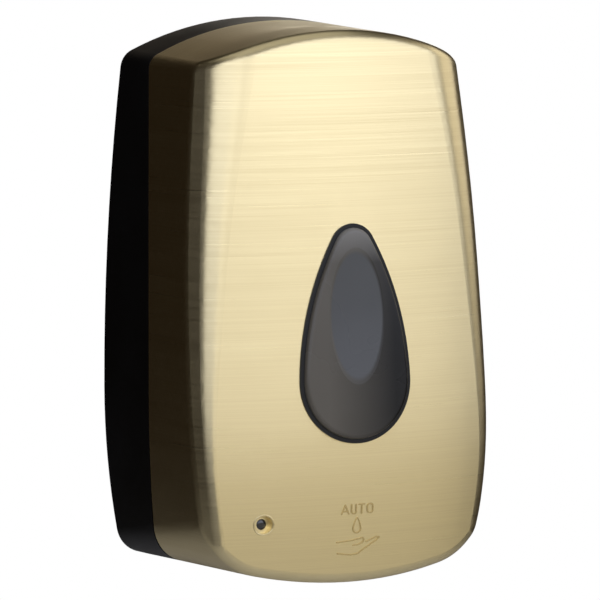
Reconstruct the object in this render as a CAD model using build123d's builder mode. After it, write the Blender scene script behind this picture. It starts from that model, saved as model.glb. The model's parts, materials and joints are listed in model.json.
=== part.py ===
from build123d import *
from math import asin, atan2, cos, degrees, hypot, pi, radians, sin, sqrt, tan
import os

os.makedirs("parts", exist_ok=True)

# A touch-free soap dispenser for a wall. Frame: X to the right, Y into the wall, Z up. The wall
# is the plane Y = 0 and the origin is on it, halfway up the casing. Sizes are in millimetres.
# A depth is a distance out from the wall, so a depth of 30 is the plane Y = -30.

# casing
case_height = 270.0
case_width = 166.0
case_depth = 108.0
half_height = case_height / 2
half_width = case_width / 2
top_z = half_height
bottom_z = -half_height
widest_z = bottom_z + 92.0
upper_side_radius = 1300.0
lower_side_radius = 388.0
crown_radius = 162.0
base_radius = 232.0
top_corner_radius = 10.0
smallest_corner = 4.0
back_base_corner = 15.0
front_base_corner = 44.0
draft = 4.0
form_depth = case_depth + 15.0

# front of the cover: height, depth at the middle and radius of the soft side edge
face_radius = 300.0
edge_turn = radians(55)
edge_round = 6.0
front_stations = (
    (bottom_z - 15, case_depth - 8.0, 7.0),
    (bottom_z + 15, case_depth - 2.7, 7.5),
    (bottom_z + 40, case_depth - 0.4, 8.0),
    (bottom_z + 65, case_depth, 8.5),
    (bottom_z + 100, case_depth - 1.7, 12.0),
    (top_z - 135, case_depth - 4.0, 16.0),
    (top_z - 85, case_depth - 7.0, 21.0),
    (top_z - 35, case_depth - 10.3, 28.0),
    (top_z - 5, case_depth - 13.2, 33.0),
    (top_z + 15, case_depth - 16.0, 36.0),
)

# walls, seam and gaps; sink is how far a boss reaches into its wall, over how far a cut runs past a face
cover_wall = 1.2
housing_wall = 2.5
back_wall = 3.0
seam_depth = 47.0
seam_upper_radius = 702.0
seam_lower_radius = 325.0
cover_lower_radius = 350.0
seam_gap = 0.5
lip_gap = 0.4
lip_wall = 1.2
lip_reach = 4.0
lip_bottom = bottom_z + 45.0
running_gap = 0.05
slide_gap = 0.1
free_gap = 0.4
hair_gap = 0.2
sink = 0.5
over = 1.0

# wall screws
wall_hole_radius = 2.75
wall_hole_x = 50.0
wall_hole_low = bottom_z + 108.0
wall_hole_high = top_z - 32.0

# cover hinge
hinge_depth = 22.0
hinge_z = bottom_z + 14.0
hinge_x = 46.0
hinge_pin_radius = 1.5
eye_radius = 4.0
arm_width = 6.0
arm_gap = 0.5
lug_width = 3.0
arm_reach = 38.0
arm_heel_run = 21.0
arm_throat_run = 15.0
lug_reach = 6.0
lug_rise = 5.0
slot_reach = 6.0
slot_drop = 2.0
pin_head_thick = 1.2
pin_head_step = 1.0

# latch
latch_width = 16.0
stem_width = 10.0
stem_front = 18.0
stem_back = 12.0
nose_depth = 33.5
nose_thick = 2.5
latch_travel = 6.0
latch_arm_top = top_z - 13.0
latch_arm_thick = 3.0
latch_overlap = 5.0
catch_gap = 2.0
catch_thick = 2.0
catch_pad_thick = 3.0
catch_pad_reach = 8.5
catch_margin = 1.0
catch_room = 0.5
stem_grip = 9.0
bracket_wall = 4.0
bracket_floor_thick = 2.0
bracket_room = 1.0
nose_chamfer = 0.8
key_slot_back = 2.0
key_slot_x = -4.6
key_slot_width = 5.0
key_slot_height = 2.0
spring_radius = 2.5
spring_wire = 0.5
spring_turns = 5
spring_length = 10.0

# shelf and tank
shelf_top = bottom_z + 88.0
shelf_thick = 3.0
shelf_half_width = half_width - 14.0
shelf_depth = case_depth - 24.0
flange_depth = 9.0
flange_thick = 2.5
flange_height = 14.0
flange_half_width = 50.0
shelf_screw_x = (-42.0, -14.0, 14.0, 42.0)
shelf_screw_rise = 7.0
shelf_rib_x = (-30.0, 30.0)
shelf_rib_thick = 3.0
shelf_rib_height = 3.0
shelf_rib_stop = 8.0
spigot_room = 1.0
tank_half_width = half_width - 18.0
tank_front = case_depth - 26.0
tank_back = 15.0
tank_top = top_z - 57.0
tank_wall = 2.0
tank_corner = 10.0
neck_y = -50.0
neck_radius = 23.0
neck_height = 8.0
neck_wall = 2.0
bayonet_height = 1.6
bayonet_reach = 1.2
cap_radius = 26.0
cap_wall = 1.6
cap_ribs = 24
cap_rib_radius = 1.0
cap_rib_offset = 0.5
cap_round = 1.2
cap_foot_gap = 0.6
cap_grip_width = 7.0
cap_grip_height = 5.0
cap_grip_margin = 4.0
cap_grip_round = 1.5
bayonet_turn = 60.0
bayonet_starts = (-30.0, 150.0)
bayonet_drop = 3.4
seal_thick = 1.2
seal_lap = 1.0
spigot_y = -68.0
spigot_radius = 7.0
spigot_bore = 4.0
spigot_length = 9.0
spigot_gap = 0.6
oring_radius = 1.1
oring_land = 2.0
socket_wall = 2.4
socket_depth = 10.0
socket_floor_thick = 1.6
socket_flange_width = 4.0
socket_flange_thick = 2.0
nipple_wall = 1.0

# pump: the tube is bent round the rotor in the plane of the spigot
pump_x = -10.0
pump_z = bottom_z + 46.0
tube_radius = 4.0
tube_bore = 2.5
loop_radius = 17.0
bend_radius = 8.0
roller_radius = 4.2
roller_gap = 0.3
roller_show = 0.7
roller_count = 3
rotor_shaft_radius = 2.0
roller_pin_radius = 1.2
rotor_hub_radius = 3.6
rotor_plate_thick = 1.4
pump_floor = 63.0
pump_floor_thick = 3.0
pump_rim = 74.0
pump_rim_wall = 3.0
pump_cover_thick = 2.0
module_half_width = 33.0
module_bottom = bottom_z + 22.0
module_top = bottom_z + 72.5
module_screw_x = 28.0
module_screw_inset = 4.5
tip_room = 0.5
module_screw_bite = 15.0
shelf_screw_bite = 6.5
board_screw_bite = 4.5
cover_screw_bite = 7.5
roller_round = 0.6
shaft_chamfer = 0.3
shaft_stick_out = 0.5
corner_round = 3.0

# gears
layer_a = 52.0
layer_a_thick = 6.0
layer_b = 45.0
layer_b_thick = 5.0
output_teeth = 42
pinion_teeth = 14
output_module = 0.8
wheel_teeth = 48
motor_teeth = 12
motor_module = 0.6
gear_backlash = 0.16
pressure_angle = radians(20)
idler_direction = radians(30)
motor_direction = radians(-60)
idler_shaft_radius = 1.5
motor_shaft_radius = 1.0
output_hub_radius = 5.0
idler_hub_radius = 4.0

# motor and gearbox plate
gearbox_depth = 41.0
gearbox_thick = 3.0
motor_radius = 12.0
motor_length = 30.0
motor_boss_radius = 3.0
motor_boss_inset = 0.5
motor_round = 1.0
motor_shaft_depth = 14.0
terminal_x = 6.0
terminal_width = 2.4
terminal_thick = 0.6
terminal_length = 4.0
post_radius = 4.0
screw_radius = 1.5
screw_head_radius = 2.8
screw_head_height = 2.0
screw_slot_depth = 0.8
screw_slot_half_length = 1.8
screw_slot_half_width = 0.4

# battery and electronics bays
bay_inner_x = 34.0
bay_width = 32.0
bay_bottom = bottom_z + 25.0
bay_top = shelf_top - shelf_thick - 2.0
bay_round = 2.0
battery_depth = 34.4
battery_wall = 1.6
door_thick = 1.6
cell_radius = 7.2
cell_length = 50.5
cell_gap = 0.1
button_radius = 2.7
button_height = 1.5
contact_thick = 0.5
contact_width = 10.0
contact_spring_radius = 2.2
door_ribs = 4
door_rib_pitch = 3.0
door_rib_width = 1.2
door_rib_proud = 0.8
door_rib_inset = 9.0
door_rib_top = 8.0
board_depth = 8.4
board_thick = 1.6
board_margin = 2.0
board_screw_inset_x = 6.0
board_screw_inset_z = 7.0
electronics_depth = 32.0
electronics_wall = 1.6
electronics_round = 1.2
switch_travel = 3.0
power_drop = 14.0
dose_drop = 38.0
stem_half = 1.5
switch_body = (5.0, 7.0)
switch_room = 2.4
knob_half_width = 3.5
knob_thick = 2.4
knob_round = 0.8
knob_gap = 0.3
power_half_length = 5.0
dose_half_length = 4.0
chip_half = 4.0
chip_thick = 1.4
capacitor_radius = 3.0
capacitor_length = 9.0
capacitor_x = -9.5
connector_x = (7.0, 12.0)
connector_half_height = 6.0
connector_length = 6.0
coil_x = 1.0
coil_drop = 13.0
coil_radius = 3.6
coil_length = 5.0

# sensor block and nozzle
block_half_width = 32.0
block_front = case_depth - 19.5
block_back = 38.0
block_height = 20.0
block_wall = 2.0
notch_gap = 1.0
notch_front_gap = 1.5
tongue_inset = 4.0
tongue_back = 10.0
tongue_lap = 2.0
tongue_height = 6.5
nozzle_radius = 5.0
nozzle_bore = 1.5
nozzle_wall = 3.0
nozzle_taper = 1.5
nozzle_taper_height = 2.0
nozzle_lap = 4.0
nozzle_seat = 3.5
nozzle_inset = 0.5
ir_radius = 3.5
ir_spacing = 16.0
ir_y = -80.0
ir_wall = 1.2
ir_height = 7.0
ir_lens_height = 6.0
ir_inset = 0.3

# window
window_low_z = bottom_z + 100.6
window_high_z = bottom_z + 163.6
window_low_radius = 29.5
window_high_radius = 12.0
window_side_radius = 145.0
rim_width = 2.0
rim_proud = 0.8
lens_proud = 3.2
lens_round = 2.2
lens_back = 2.4
dish_z = bottom_z + 132.0
dish_half_width = 14.6
dish_half_height = 31.8
dish_depth = 1.5

# indicator and marks
indicator_x = -47.8
indicator_z = bottom_z + 34.2
indicator_radius = 4.7
indicator_wall = 0.45
indicator_recess = 2.6
indicator_length = 7.0
indicator_lens_radius = 2.6
indicator_lens_round = 0.5
indicator_lens_back = 1.5
mark_height = 0.3
mark_width = 0.7
auto_base = bottom_z + 37.3
auto_height = 4.4


def side_x(z, inset):
    radius = (upper_side_radius if z > widest_z else lower_side_radius) - inset
    return half_width - inset - radius + sqrt(radius**2 - (z - widest_z) ** 2)


def end_z(x, inset, end):
    radius = (crown_radius if end > 0 else base_radius) - inset
    return end * (half_height - inset - radius + sqrt(radius**2 - x**2))


def sharp_corner(inset, end):
    # where the side arc meets the crown or the base, found by walking from one to the other
    z = end * half_height
    for _ in range(30):
        x = side_x(z, inset)
        z = end_z(x, inset, end)
    return x, z


def case_outline(inset, base_corner):
    # front view of the casing, every arc moved in by the inset
    top_x, high_z = sharp_corner(inset, 1)
    base_x, low_z = sharp_corner(inset, -1)
    wide_x = half_width - inset
    upper_z = (high_z + widest_z) / 2
    lower_z = (low_z + widest_z) / 2
    upper_x = side_x(upper_z, inset)
    lower_x = side_x(lower_z, inset)
    with BuildSketch() as outline:
        with BuildLine():
            ThreePointArc((-top_x, high_z), (0, half_height - inset), (top_x, high_z))
            ThreePointArc((top_x, high_z), (upper_x, upper_z), (wide_x, widest_z))
            ThreePointArc((wide_x, widest_z), (lower_x, lower_z), (base_x, low_z))
            ThreePointArc((base_x, low_z), (0, inset - half_height), (-base_x, low_z))
            ThreePointArc((-base_x, low_z), (-lower_x, lower_z), (-wide_x, widest_z))
            ThreePointArc((-wide_x, widest_z), (-upper_x, upper_z), (-top_x, high_z))
        make_face()
        top_corners = outline.vertices().group_by(Axis.Y)[-1]
        fillet(top_corners, max(top_corner_radius - inset, smallest_corner))
        bottom_corners = outline.vertices().group_by(Axis.Y)[0]
        fillet(bottom_corners, base_corner - inset)
    return outline.sketch


def body_form(inset):
    # the casing's plain body, tapering a little from the wall to the front
    with BuildPart() as form:
        with BuildSketch(Plane.XZ):
            add(case_outline(inset, back_base_corner))
        with BuildSketch(Plane.XZ.offset(form_depth)):
            add(case_outline(inset + draft, front_base_corner))
        loft(ruled=True)
    return form.part


def front_section(z, depth, edge_radius, inset):
    # plan view of the front: a shallow crown, a soft edge and a flank that leaves the casing
    reach = 0.7 * edge_radius + 1.5
    crown_x = side_x(min(max(z, bottom_z + 15), top_z - 15), draft) - reach
    start = asin(crown_x / face_radius)
    crown = face_radius - inset
    edge = edge_radius - inset
    crown_y = face_radius - depth
    joint = (crown * sin(start), crown_y - crown * cos(start))
    edge_x = (face_radius - edge_radius) * sin(start)
    edge_y = crown_y - (face_radius - edge_radius) * cos(start)
    middle = (start + edge_turn) / 2
    bend = (edge_x + edge * sin(middle), edge_y - edge * cos(middle))
    end = (edge_x + edge * sin(edge_turn), edge_y - edge * cos(edge_turn))
    far_x = half_width + 32
    far = (far_x, end[1] + (far_x - end[0]) * tan(edge_turn))
    with BuildSketch() as section:
        with BuildLine():
            ThreePointArc((-joint[0], joint[1]), (0, inset - depth), joint)
            ThreePointArc(joint, bend, end)
            Line(end, far)
            Polyline(far, (far_x, 60), (-far_x, 60), (-far[0], far[1]))
            Line((-far[0], far[1]), (-end[0], end[1]))
            ThreePointArc((-end[0], end[1]), (-bend[0], bend[1]), (-joint[0], joint[1]))
        make_face()
    return section.sketch


def front_form(inset):
    with BuildPart() as form:
        for z, depth, edge_radius in front_stations:
            with BuildSketch(Plane.XY.offset(z)):
                add(front_section(z, depth, edge_radius, inset))
        loft()
    return form.part


def case_form(inset):
    # the whole closed casing, with its front edges rounded
    with BuildPart() as form:
        add(body_form(inset))
        add(front_form(inset), mode=Mode.INTERSECT)
        front_edges = form.edges().filter_by(lambda edge: edge.bounding_box().max.Y < -seam_depth - 10)
        fillet(front_edges, edge_round - inset)
    return form.part


def sag(radius, run):
    return radius - sqrt(radius**2 - run**2)


def behind_seam(ahead, lower_radius):
    # everything between the wall and the curved seam, with the seam moved towards the front
    apex = -seam_depth - ahead
    top_run = top_z + 12 - widest_z
    bottom_run = widest_z - bottom_z + 12
    top_y = apex + sag(seam_upper_radius, top_run)
    bottom_y = apex + sag(lower_radius, bottom_run)
    top_mid = apex + sag(seam_upper_radius, top_run / 2)
    bottom_mid = apex + sag(lower_radius, bottom_run / 2)
    with BuildPart() as form:
        with BuildSketch(Plane.YZ.offset(-half_width - 10)):
            with BuildLine():
                high = (top_y, top_z + 12)
                low = (bottom_y, bottom_z - 12)
                ThreePointArc(high, (top_mid, widest_z + top_run / 2), (apex, widest_z))
                ThreePointArc((apex, widest_z), (bottom_mid, widest_z - bottom_run / 2), low)
                Polyline(low, (20, low[1]), (20, high[1]), high)
            make_face()
        extrude(amount=case_width + 20)
    return form.part


def block(x, depth, z):
    # a box from its limits: x and z pairs, and a pair of depths out from the wall
    with BuildPart() as form:
        centre = ((x[0] + x[1]) / 2, -(depth[0] + depth[1]) / 2, (z[0] + z[1]) / 2)
        with Locations(centre):
            Box(abs(x[1] - x[0]), abs(depth[1] - depth[0]), abs(z[1] - z[0]))
    return form.part


def plate(x, depth, z, corner):
    # a box whose corners are round in the front view
    with BuildPart() as form:
        with BuildSketch(Plane.XZ.offset(min(depth))):
            with Locations(((x[0] + x[1]) / 2, (z[0] + z[1]) / 2)):
                RectangleRounded(abs(x[1] - x[0]), abs(z[1] - z[0]), corner)
        extrude(amount=abs(depth[1] - depth[0]))
    return form.part


def rod(x, z, radius, depth):
    # a cylinder along Y between two depths
    with BuildPart() as form:
        with BuildSketch(Plane.XZ.offset(min(depth))):
            with Locations((x, z)):
                Circle(radius)
        extrude(amount=abs(depth[1] - depth[0]))
    return form.part


def post(x, y, radius, z):
    # a cylinder along Z between two heights
    with BuildPart() as form:
        with BuildSketch(Plane.XY.offset(min(z))):
            with Locations((x, y)):
                Circle(radius)
        extrude(amount=abs(z[1] - z[0]))
    return form.part


def bar(x, depth, z, radius):
    # a cylinder along X between two x values
    with BuildPart() as form:
        with BuildSketch(Plane.YZ.offset(min(x))):
            with Locations((-depth, z)):
                Circle(radius)
        extrude(amount=abs(x[1] - x[0]))
    return form.part


def screw(x, z, depth, length):
    # a pan-head screw driven towards the wall, its head's underside at the given depth
    wide = screw_slot_half_width
    long = screw_slot_half_length
    with BuildPart() as form:
        add(rod(x, z, screw_radius, (depth - length, depth)))
        add(rod(x, z, screw_head_radius, (depth, depth + screw_head_height)))
        slot = (depth + screw_head_height - screw_slot_depth, depth + screw_head_height + over)
        add(block((x - wide, x + wide), slot, (z - long, z + long)), mode=Mode.SUBTRACT)
        add(block((x - long, x + long), slot, (z - wide, z + wide)), mode=Mode.SUBTRACT)
    return form.part


def collar(y, inner, outer, z):
    # a plain ring about an upright axis at x = 0
    with BuildPart() as form:
        add(post(0, y, outer, z))
        add(post(0, y, inner, (min(z) - 1, max(z) + 1)), mode=Mode.SUBTRACT)
    return form.part


def collar_arc(y, inner, outer, z, start, turn):
    # the part of such a ring between two angles
    reach = 3 * outer
    corners = [(0, y)]
    for angle in (start, start + turn / 2, start + turn):
        corners.append((reach * cos(radians(angle)), y + reach * sin(radians(angle))))
    with BuildPart() as form:
        add(collar(y, inner, outer, z))
        with BuildSketch(Plane.XY.offset(min(z))):
            Polygon(*corners, align=None)
        extrude(amount=abs(z[1] - z[0]), mode=Mode.INTERSECT)
    return form.part


def front_depth(z):
    # how far the middle of the front stands out at a height
    for (low, low_depth, _), (high, high_depth, _) in zip(front_stations, front_stations[1:]):
        if low <= z <= high:
            return low_depth + (high_depth - low_depth) * (z - low) / (high - low)


def teardrop(low_z, high_z, low_radius, high_radius, side_radius):
    # two circles joined by bulging sides that touch both
    span = high_z - low_z
    low_arm = side_radius - low_radius
    high_arm = side_radius - high_radius
    rise = (low_arm**2 - high_arm**2 + span**2) / (2 * span)
    out = sqrt(low_arm**2 - rise**2)
    low_x = low_radius * out / low_arm
    low_touch_z = low_z - low_radius * rise / low_arm
    high_x = high_radius * out / high_arm
    high_touch_z = high_z + high_radius * (span - rise) / high_arm
    low_turn = atan2(-rise, out)
    high_turn = atan2(span - rise, out)
    turn = (low_turn + high_turn) / 2
    side_x_mid = side_radius * cos(turn) - out
    side_z_mid = low_z + rise + side_radius * sin(turn)
    with BuildSketch() as outline:
        with BuildLine():
            ThreePointArc((low_x, low_touch_z), (0, low_z - low_radius), (-low_x, low_touch_z))
            ThreePointArc((-low_x, low_touch_z), (-side_x_mid, side_z_mid), (-high_x, high_touch_z))
            ThreePointArc((-high_x, high_touch_z), (0, high_z + high_radius), (high_x, high_touch_z))
            ThreePointArc((high_x, high_touch_z), (side_x_mid, side_z_mid), (low_x, low_touch_z))
        make_face()
    return outline.sketch


def window_outline(inset):
    low_radius = window_low_radius - inset
    high_radius = window_high_radius - inset
    return teardrop(window_low_z, window_high_z, low_radius, high_radius, window_side_radius - inset)


def strokes(points, width):
    # a line of even width with round ends through the points
    with BuildSketch() as line:
        for start, end in zip(points, points[1:]):
            run = (end[0] - start[0], end[1] - start[1])
            turn = degrees(atan2(run[1], run[0]))
            with Locations(((start[0] + end[0]) / 2, (start[1] + end[1]) / 2)):
                SlotCenterToCenter(hypot(run[0], run[1]), width, rotation=turn)
    return line.sketch


def gear_outline(teeth, size, phase):
    # involute teeth, thinned for backlash, the first tooth's middle at the phase angle
    pitch = teeth * size / 2
    base = pitch * cos(pressure_angle)
    outer = pitch + size
    root = pitch - 1.25 * size
    inner = max(base, root)
    involute = tan(pressure_angle) - pressure_angle
    half_tooth = pi / (2 * teeth) - gear_backlash / (2 * pitch) + involute
    steps = 4
    flank = []
    for step in range(steps + 1):
        radius = inner + (outer - inner) * step / steps
        unroll = sqrt((radius / base) ** 2 - 1)
        flank.append((radius, half_tooth - (unroll - atan2(unroll, 1))))
    tooth = [(root, flank[0][1])] + flank if root < inner - 0.01 else flank
    points = []
    for index in range(teeth):
        middle = phase + index * 2 * pi / teeth
        points += [(r * cos(middle - a), r * sin(middle - a)) for r, a in tooth]
        points += [(r * cos(middle + a), r * sin(middle + a)) for r, a in reversed(tooth)]
    with BuildSketch() as outline:
        with BuildLine():
            Polyline(*points, close=True)
        make_face()
    return outline.sketch


def finish(piece, name):
    piece.part.label = name
    export_step(piece.part, f"parts/{name}.step")


outer_form = case_form(0)
inner_form = case_form(cover_wall)

# places worked out from the sizes
socket_radius = spigot_radius + spigot_gap
shelf_under = shelf_top - shelf_thick
socket_floor = shelf_under - socket_depth
tube_top_turn = pump_z + loop_radius + bend_radius
tube_end_turn = pump_z - loop_radius - bend_radius
tube_depth = -spigot_y
roller_orbit = loop_radius - tube_radius - roller_gap - roller_radius
block_top = bottom_z + block_height
tube_bottom = block_top - nozzle_lap
output_gap = (output_teeth + pinion_teeth) * output_module / 2
motor_gap = (wheel_teeth + motor_teeth) * motor_module / 2
idler_x = pump_x + output_gap * cos(idler_direction)
idler_z = pump_z + output_gap * sin(idler_direction)
motor_x = idler_x + motor_gap * cos(motor_direction)
motor_z = idler_z + motor_gap * sin(motor_direction)
module_low = module_bottom + module_screw_inset
module_high = module_top - module_screw_inset
module_screw_spots = [(x, z) for x in (-module_screw_x, module_screw_x) for z in (module_low, module_high)]
shelf_screw_z = shelf_top + shelf_screw_rise
shelf_screw_spots = [(x, shelf_screw_z) for x in shelf_screw_x]
bay_far_x = bay_inner_x + bay_width
board_screw_spots = [
    (x, z)
    for x in (bay_inner_x + board_screw_inset_x, bay_far_x - board_screw_inset_x)
    for z in (bay_bottom + board_screw_inset_z, bay_top - board_screw_inset_z)
]
arm_near = hinge_x - arm_width / 2
arm_far = hinge_x + arm_width / 2

# ---------------------------------------------------------------- back housing
with BuildPart() as lip:
    add(body_form(cover_wall + lip_gap))
    add(body_form(cover_wall + lip_gap + lip_wall), mode=Mode.SUBTRACT)
    add(behind_seam(lip_reach, seam_lower_radius), mode=Mode.INTERSECT)
    add(behind_seam(-2.0, seam_lower_radius), mode=Mode.SUBTRACT)
    add(block((-half_width, half_width), (0, form_depth), (lip_bottom, top_z)), mode=Mode.INTERSECT)

with BuildPart() as housing_room:
    add(body_form(housing_wall))
    add(block((-half_width, half_width), (back_wall, form_depth), (bottom_z, top_z)), mode=Mode.INTERSECT)

with BuildPart() as housing_lugs:
    lug_depths = (back_wall - sink, hinge_depth + lug_reach)
    lug_heights = (bottom_z, hinge_z + lug_rise)
    for side in (-1, 1):
        for edge in (arm_near - arm_gap - lug_width / 2, arm_far + arm_gap + lug_width / 2):
            middle = side * edge
            add(block((middle - lug_width / 2, middle + lug_width / 2), lug_depths, lug_heights))
    add(body_form(housing_wall - sink), mode=Mode.INTERSECT)

with BuildPart() as back_housing:
    add(body_form(0))
    add(behind_seam(0, seam_lower_radius), mode=Mode.INTERSECT)
    add(housing_room.part, mode=Mode.SUBTRACT)
    add(lip.part)
    add(housing_lugs.part)
    for x, z in module_screw_spots:
        add(rod(x, z, post_radius, (back_wall - sink, gearbox_depth)))
        bore = (gearbox_depth - module_screw_bite - tip_room, gearbox_depth)
        add(rod(x, z, screw_radius, bore), mode=Mode.SUBTRACT)
    for x, z in shelf_screw_spots:
        add(rod(x, z, post_radius, (back_wall - sink, flange_depth)))
        bore = (flange_depth - shelf_screw_bite - tip_room, flange_depth)
        add(rod(x, z, screw_radius, bore), mode=Mode.SUBTRACT)
    for x, z in board_screw_spots:
        add(rod(x, z, screw_head_radius, (back_wall - sink, board_depth)))
        bore = (board_depth - board_screw_bite - tip_room, board_depth)
        add(rod(x, z, screw_radius, bore), mode=Mode.SUBTRACT)
    for x in (-wall_hole_x, wall_hole_x):
        for z in (wall_hole_low, wall_hole_high):
            add(rod(x, z, wall_hole_radius, (-over, back_wall + over)), mode=Mode.SUBTRACT)
    slot_half = arm_width / 2 + arm_gap
    for side in (-1, 1):
        middle = side * hinge_x
        slot_x = (middle - slot_half, middle + slot_half)
        slot_depths = (hinge_depth - slot_reach, seam_depth)
        add(block(slot_x, slot_depths, (bottom_z, hinge_z - slot_drop)), mode=Mode.SUBTRACT)
        lug_far = side * (arm_far + arm_gap + lug_width + over)
        lug_near = side * (arm_near - arm_gap - lug_width - over)
        add(bar((lug_near, lug_far), hinge_depth, hinge_z, hinge_pin_radius), mode=Mode.SUBTRACT)
finish(back_housing, "back_housing")

with BuildPart() as hinge_pins:
    for side in (-1, 1):
        near = side * (arm_near - arm_gap - lug_width - sink)
        far = side * (arm_far + arm_gap + lug_width)
        add(bar((near, far), hinge_depth, hinge_z, hinge_pin_radius))
        head_x = (far, far + side * pin_head_thick)
        add(bar(head_x, hinge_depth, hinge_z, hinge_pin_radius + pin_head_step))
finish(hinge_pins, "hinge_pins")

# ---------------------------------------------------------------- front cover
notch_half = block_half_width + notch_gap
notch_front = block_front + notch_front_gap
key_slot_depth = nose_depth - catch_thick - key_slot_back
catch_bottom = latch_arm_top + catch_gap
with BuildPart() as front_cover:
    add(outer_form)
    add(inner_form, mode=Mode.SUBTRACT)
    add(behind_seam(seam_gap, cover_lower_radius), mode=Mode.SUBTRACT)
    add(block((-notch_half, notch_half), (0, notch_front), (bottom_z - 5, block_top)), mode=Mode.SUBTRACT)
    with BuildSketch(Plane.XZ.offset(case_depth - 30)):
        add(window_outline(0))
    extrude(amount=50, mode=Mode.SUBTRACT)
    indicator_depths = (case_depth - 30, case_depth + 20)
    add(rod(indicator_x, indicator_z, indicator_radius, indicator_depths), mode=Mode.SUBTRACT)
    slot_x = (key_slot_x - key_slot_width / 2, key_slot_x + key_slot_width / 2)
    slot_depths = (key_slot_depth - key_slot_height / 2, key_slot_depth + key_slot_height / 2)
    add(block(slot_x, slot_depths, (top_z - 10, top_z + 5)), mode=Mode.SUBTRACT)
finish(front_cover, "front_cover")

with BuildPart() as hinge_arms:
    for side in (-1, 1):
        with BuildSketch(Plane.YZ.offset(side * hinge_x - arm_width / 2)):
            with Locations((-hinge_depth, hinge_z)):
                Circle(eye_radius)
            with BuildLine():
                back_y = -hinge_depth
                foot_y = -hinge_depth - arm_reach
                heel = (back_y - arm_heel_run, bottom_z)
                throat = (back_y - arm_throat_run, hinge_z - eye_radius)
                under = (back_y, hinge_z - eye_radius)
                above = (back_y, hinge_z + eye_radius)
                toe_high = (foot_y, hinge_z + eye_radius)
                Polyline(above, toe_high, (foot_y, bottom_z), heel, throat, under, above)
            make_face()
        extrude(amount=arm_width)
    add(inner_form, mode=Mode.INTERSECT)
    for side in (-1, 1):
        bore = (side * hinge_x - arm_width, side * hinge_x + arm_width)
        add(bar(bore, hinge_depth, hinge_z, hinge_pin_radius + running_gap), mode=Mode.SUBTRACT)
finish(hinge_arms, "hinge_arms")

with BuildPart() as latch_catch:
    catch_x = (-latch_width / 2 - catch_margin, latch_width / 2 + catch_margin)
    catch_front = nose_depth - catch_room
    pad_depths = (catch_front - catch_thick, nose_depth + catch_pad_reach)
    pad_low = top_z - catch_margin - catch_pad_thick
    add(block(catch_x, (catch_front - catch_thick, catch_front), (catch_bottom, top_z)))
    add(block(catch_x, pad_depths, (pad_low, top_z)))
    add(inner_form, mode=Mode.INTERSECT)
finish(latch_catch, "latch_catch")

with BuildPart() as window_gasket:
    with BuildSketch(Plane.XZ.offset(case_depth - 30)):
        add(window_outline(0))
        add(window_outline(rim_width), mode=Mode.SUBTRACT)
    extrude(amount=50)
    add(front_form(-rim_proud), mode=Mode.INTERSECT)
    add(front_form(lens_back), mode=Mode.SUBTRACT)
finish(window_gasket, "window_gasket")

with BuildPart() as dish_cutter:
    # an upright barrel in front of the lens, whose nearest point reaches the dish's depth
    barrel_radius = 1 / (2 * dish_depth / dish_half_width**2 - 1 / face_radius)
    barrel_bulge = (dish_half_height**2 + dish_depth**2) / (2 * dish_depth)
    lens_front = front_depth(dish_z) + lens_proud
    axis_y = -lens_front - barrel_radius + dish_depth
    with BuildSketch(Plane.YZ):
        with BuildLine():
            tip = (axis_y, dish_z + dish_half_height + 6)
            toe = (axis_y, dish_z - dish_half_height - 6)
            belly = axis_y + barrel_radius
            drop = sag(barrel_bulge, dish_half_height + 6)
            ThreePointArc((belly - drop, tip[1]), (belly, dish_z), (belly - drop, toe[1]))
            Polyline((belly - drop, toe[1]), toe, tip, (belly - drop, tip[1]))
        make_face()
    revolve(axis=Axis((0, axis_y, 0), (0, 0, 1)))
low_front = front_depth(dish_z - dish_half_height)
high_front = front_depth(dish_z + dish_half_height)
dish_lean = degrees(atan2(low_front - high_front, 2 * dish_half_height))
leaning_cutter = dish_cutter.part.rotate(Axis((0, -lens_front, dish_z), (1, 0, 0)), -dish_lean)

with BuildPart() as window_lens:
    with BuildSketch(Plane.XZ.offset(case_depth - 30)):
        add(window_outline(rim_width))
    extrude(amount=50)
    add(front_form(-lens_proud), mode=Mode.INTERSECT)
    outer_edges = window_lens.edges().filter_by(lambda edge: edge.bounding_box().max.Y < -case_depth + 25)
    fillet(outer_edges, lens_round)
    add(front_form(lens_back), mode=Mode.SUBTRACT)
    add(leaning_cutter, mode=Mode.SUBTRACT)
finish(window_lens, "window_lens")

# ---------------------------------------------------------------- indicator and marks
bezel_front = front_depth(indicator_z) - sag(face_radius, abs(indicator_x))
bezel_back = bezel_front - indicator_length
bezel_step = bezel_front - indicator_recess
with BuildPart() as indicator_bezel:
    add(rod(indicator_x, indicator_z, indicator_radius, (bezel_back, case_depth + 2)))
    add(outer_form, mode=Mode.INTERSECT)
    recess = (bezel_step, case_depth + 5)
    add(rod(indicator_x, indicator_z, indicator_radius - indicator_wall, recess), mode=Mode.SUBTRACT)
    add(rod(indicator_x, indicator_z, indicator_lens_radius, (0, case_depth)), mode=Mode.SUBTRACT)
finish(indicator_bezel, "indicator_bezel")

with BuildPart() as indicator_lens:
    lens_depths = (bezel_back - indicator_lens_back, bezel_step + hair_gap)
    add(rod(indicator_x, indicator_z, indicator_lens_radius, lens_depths))
    fillet(indicator_lens.edges().sort_by(Axis.Y)[0], indicator_lens_round)
finish(indicator_lens, "indicator_lens")

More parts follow.
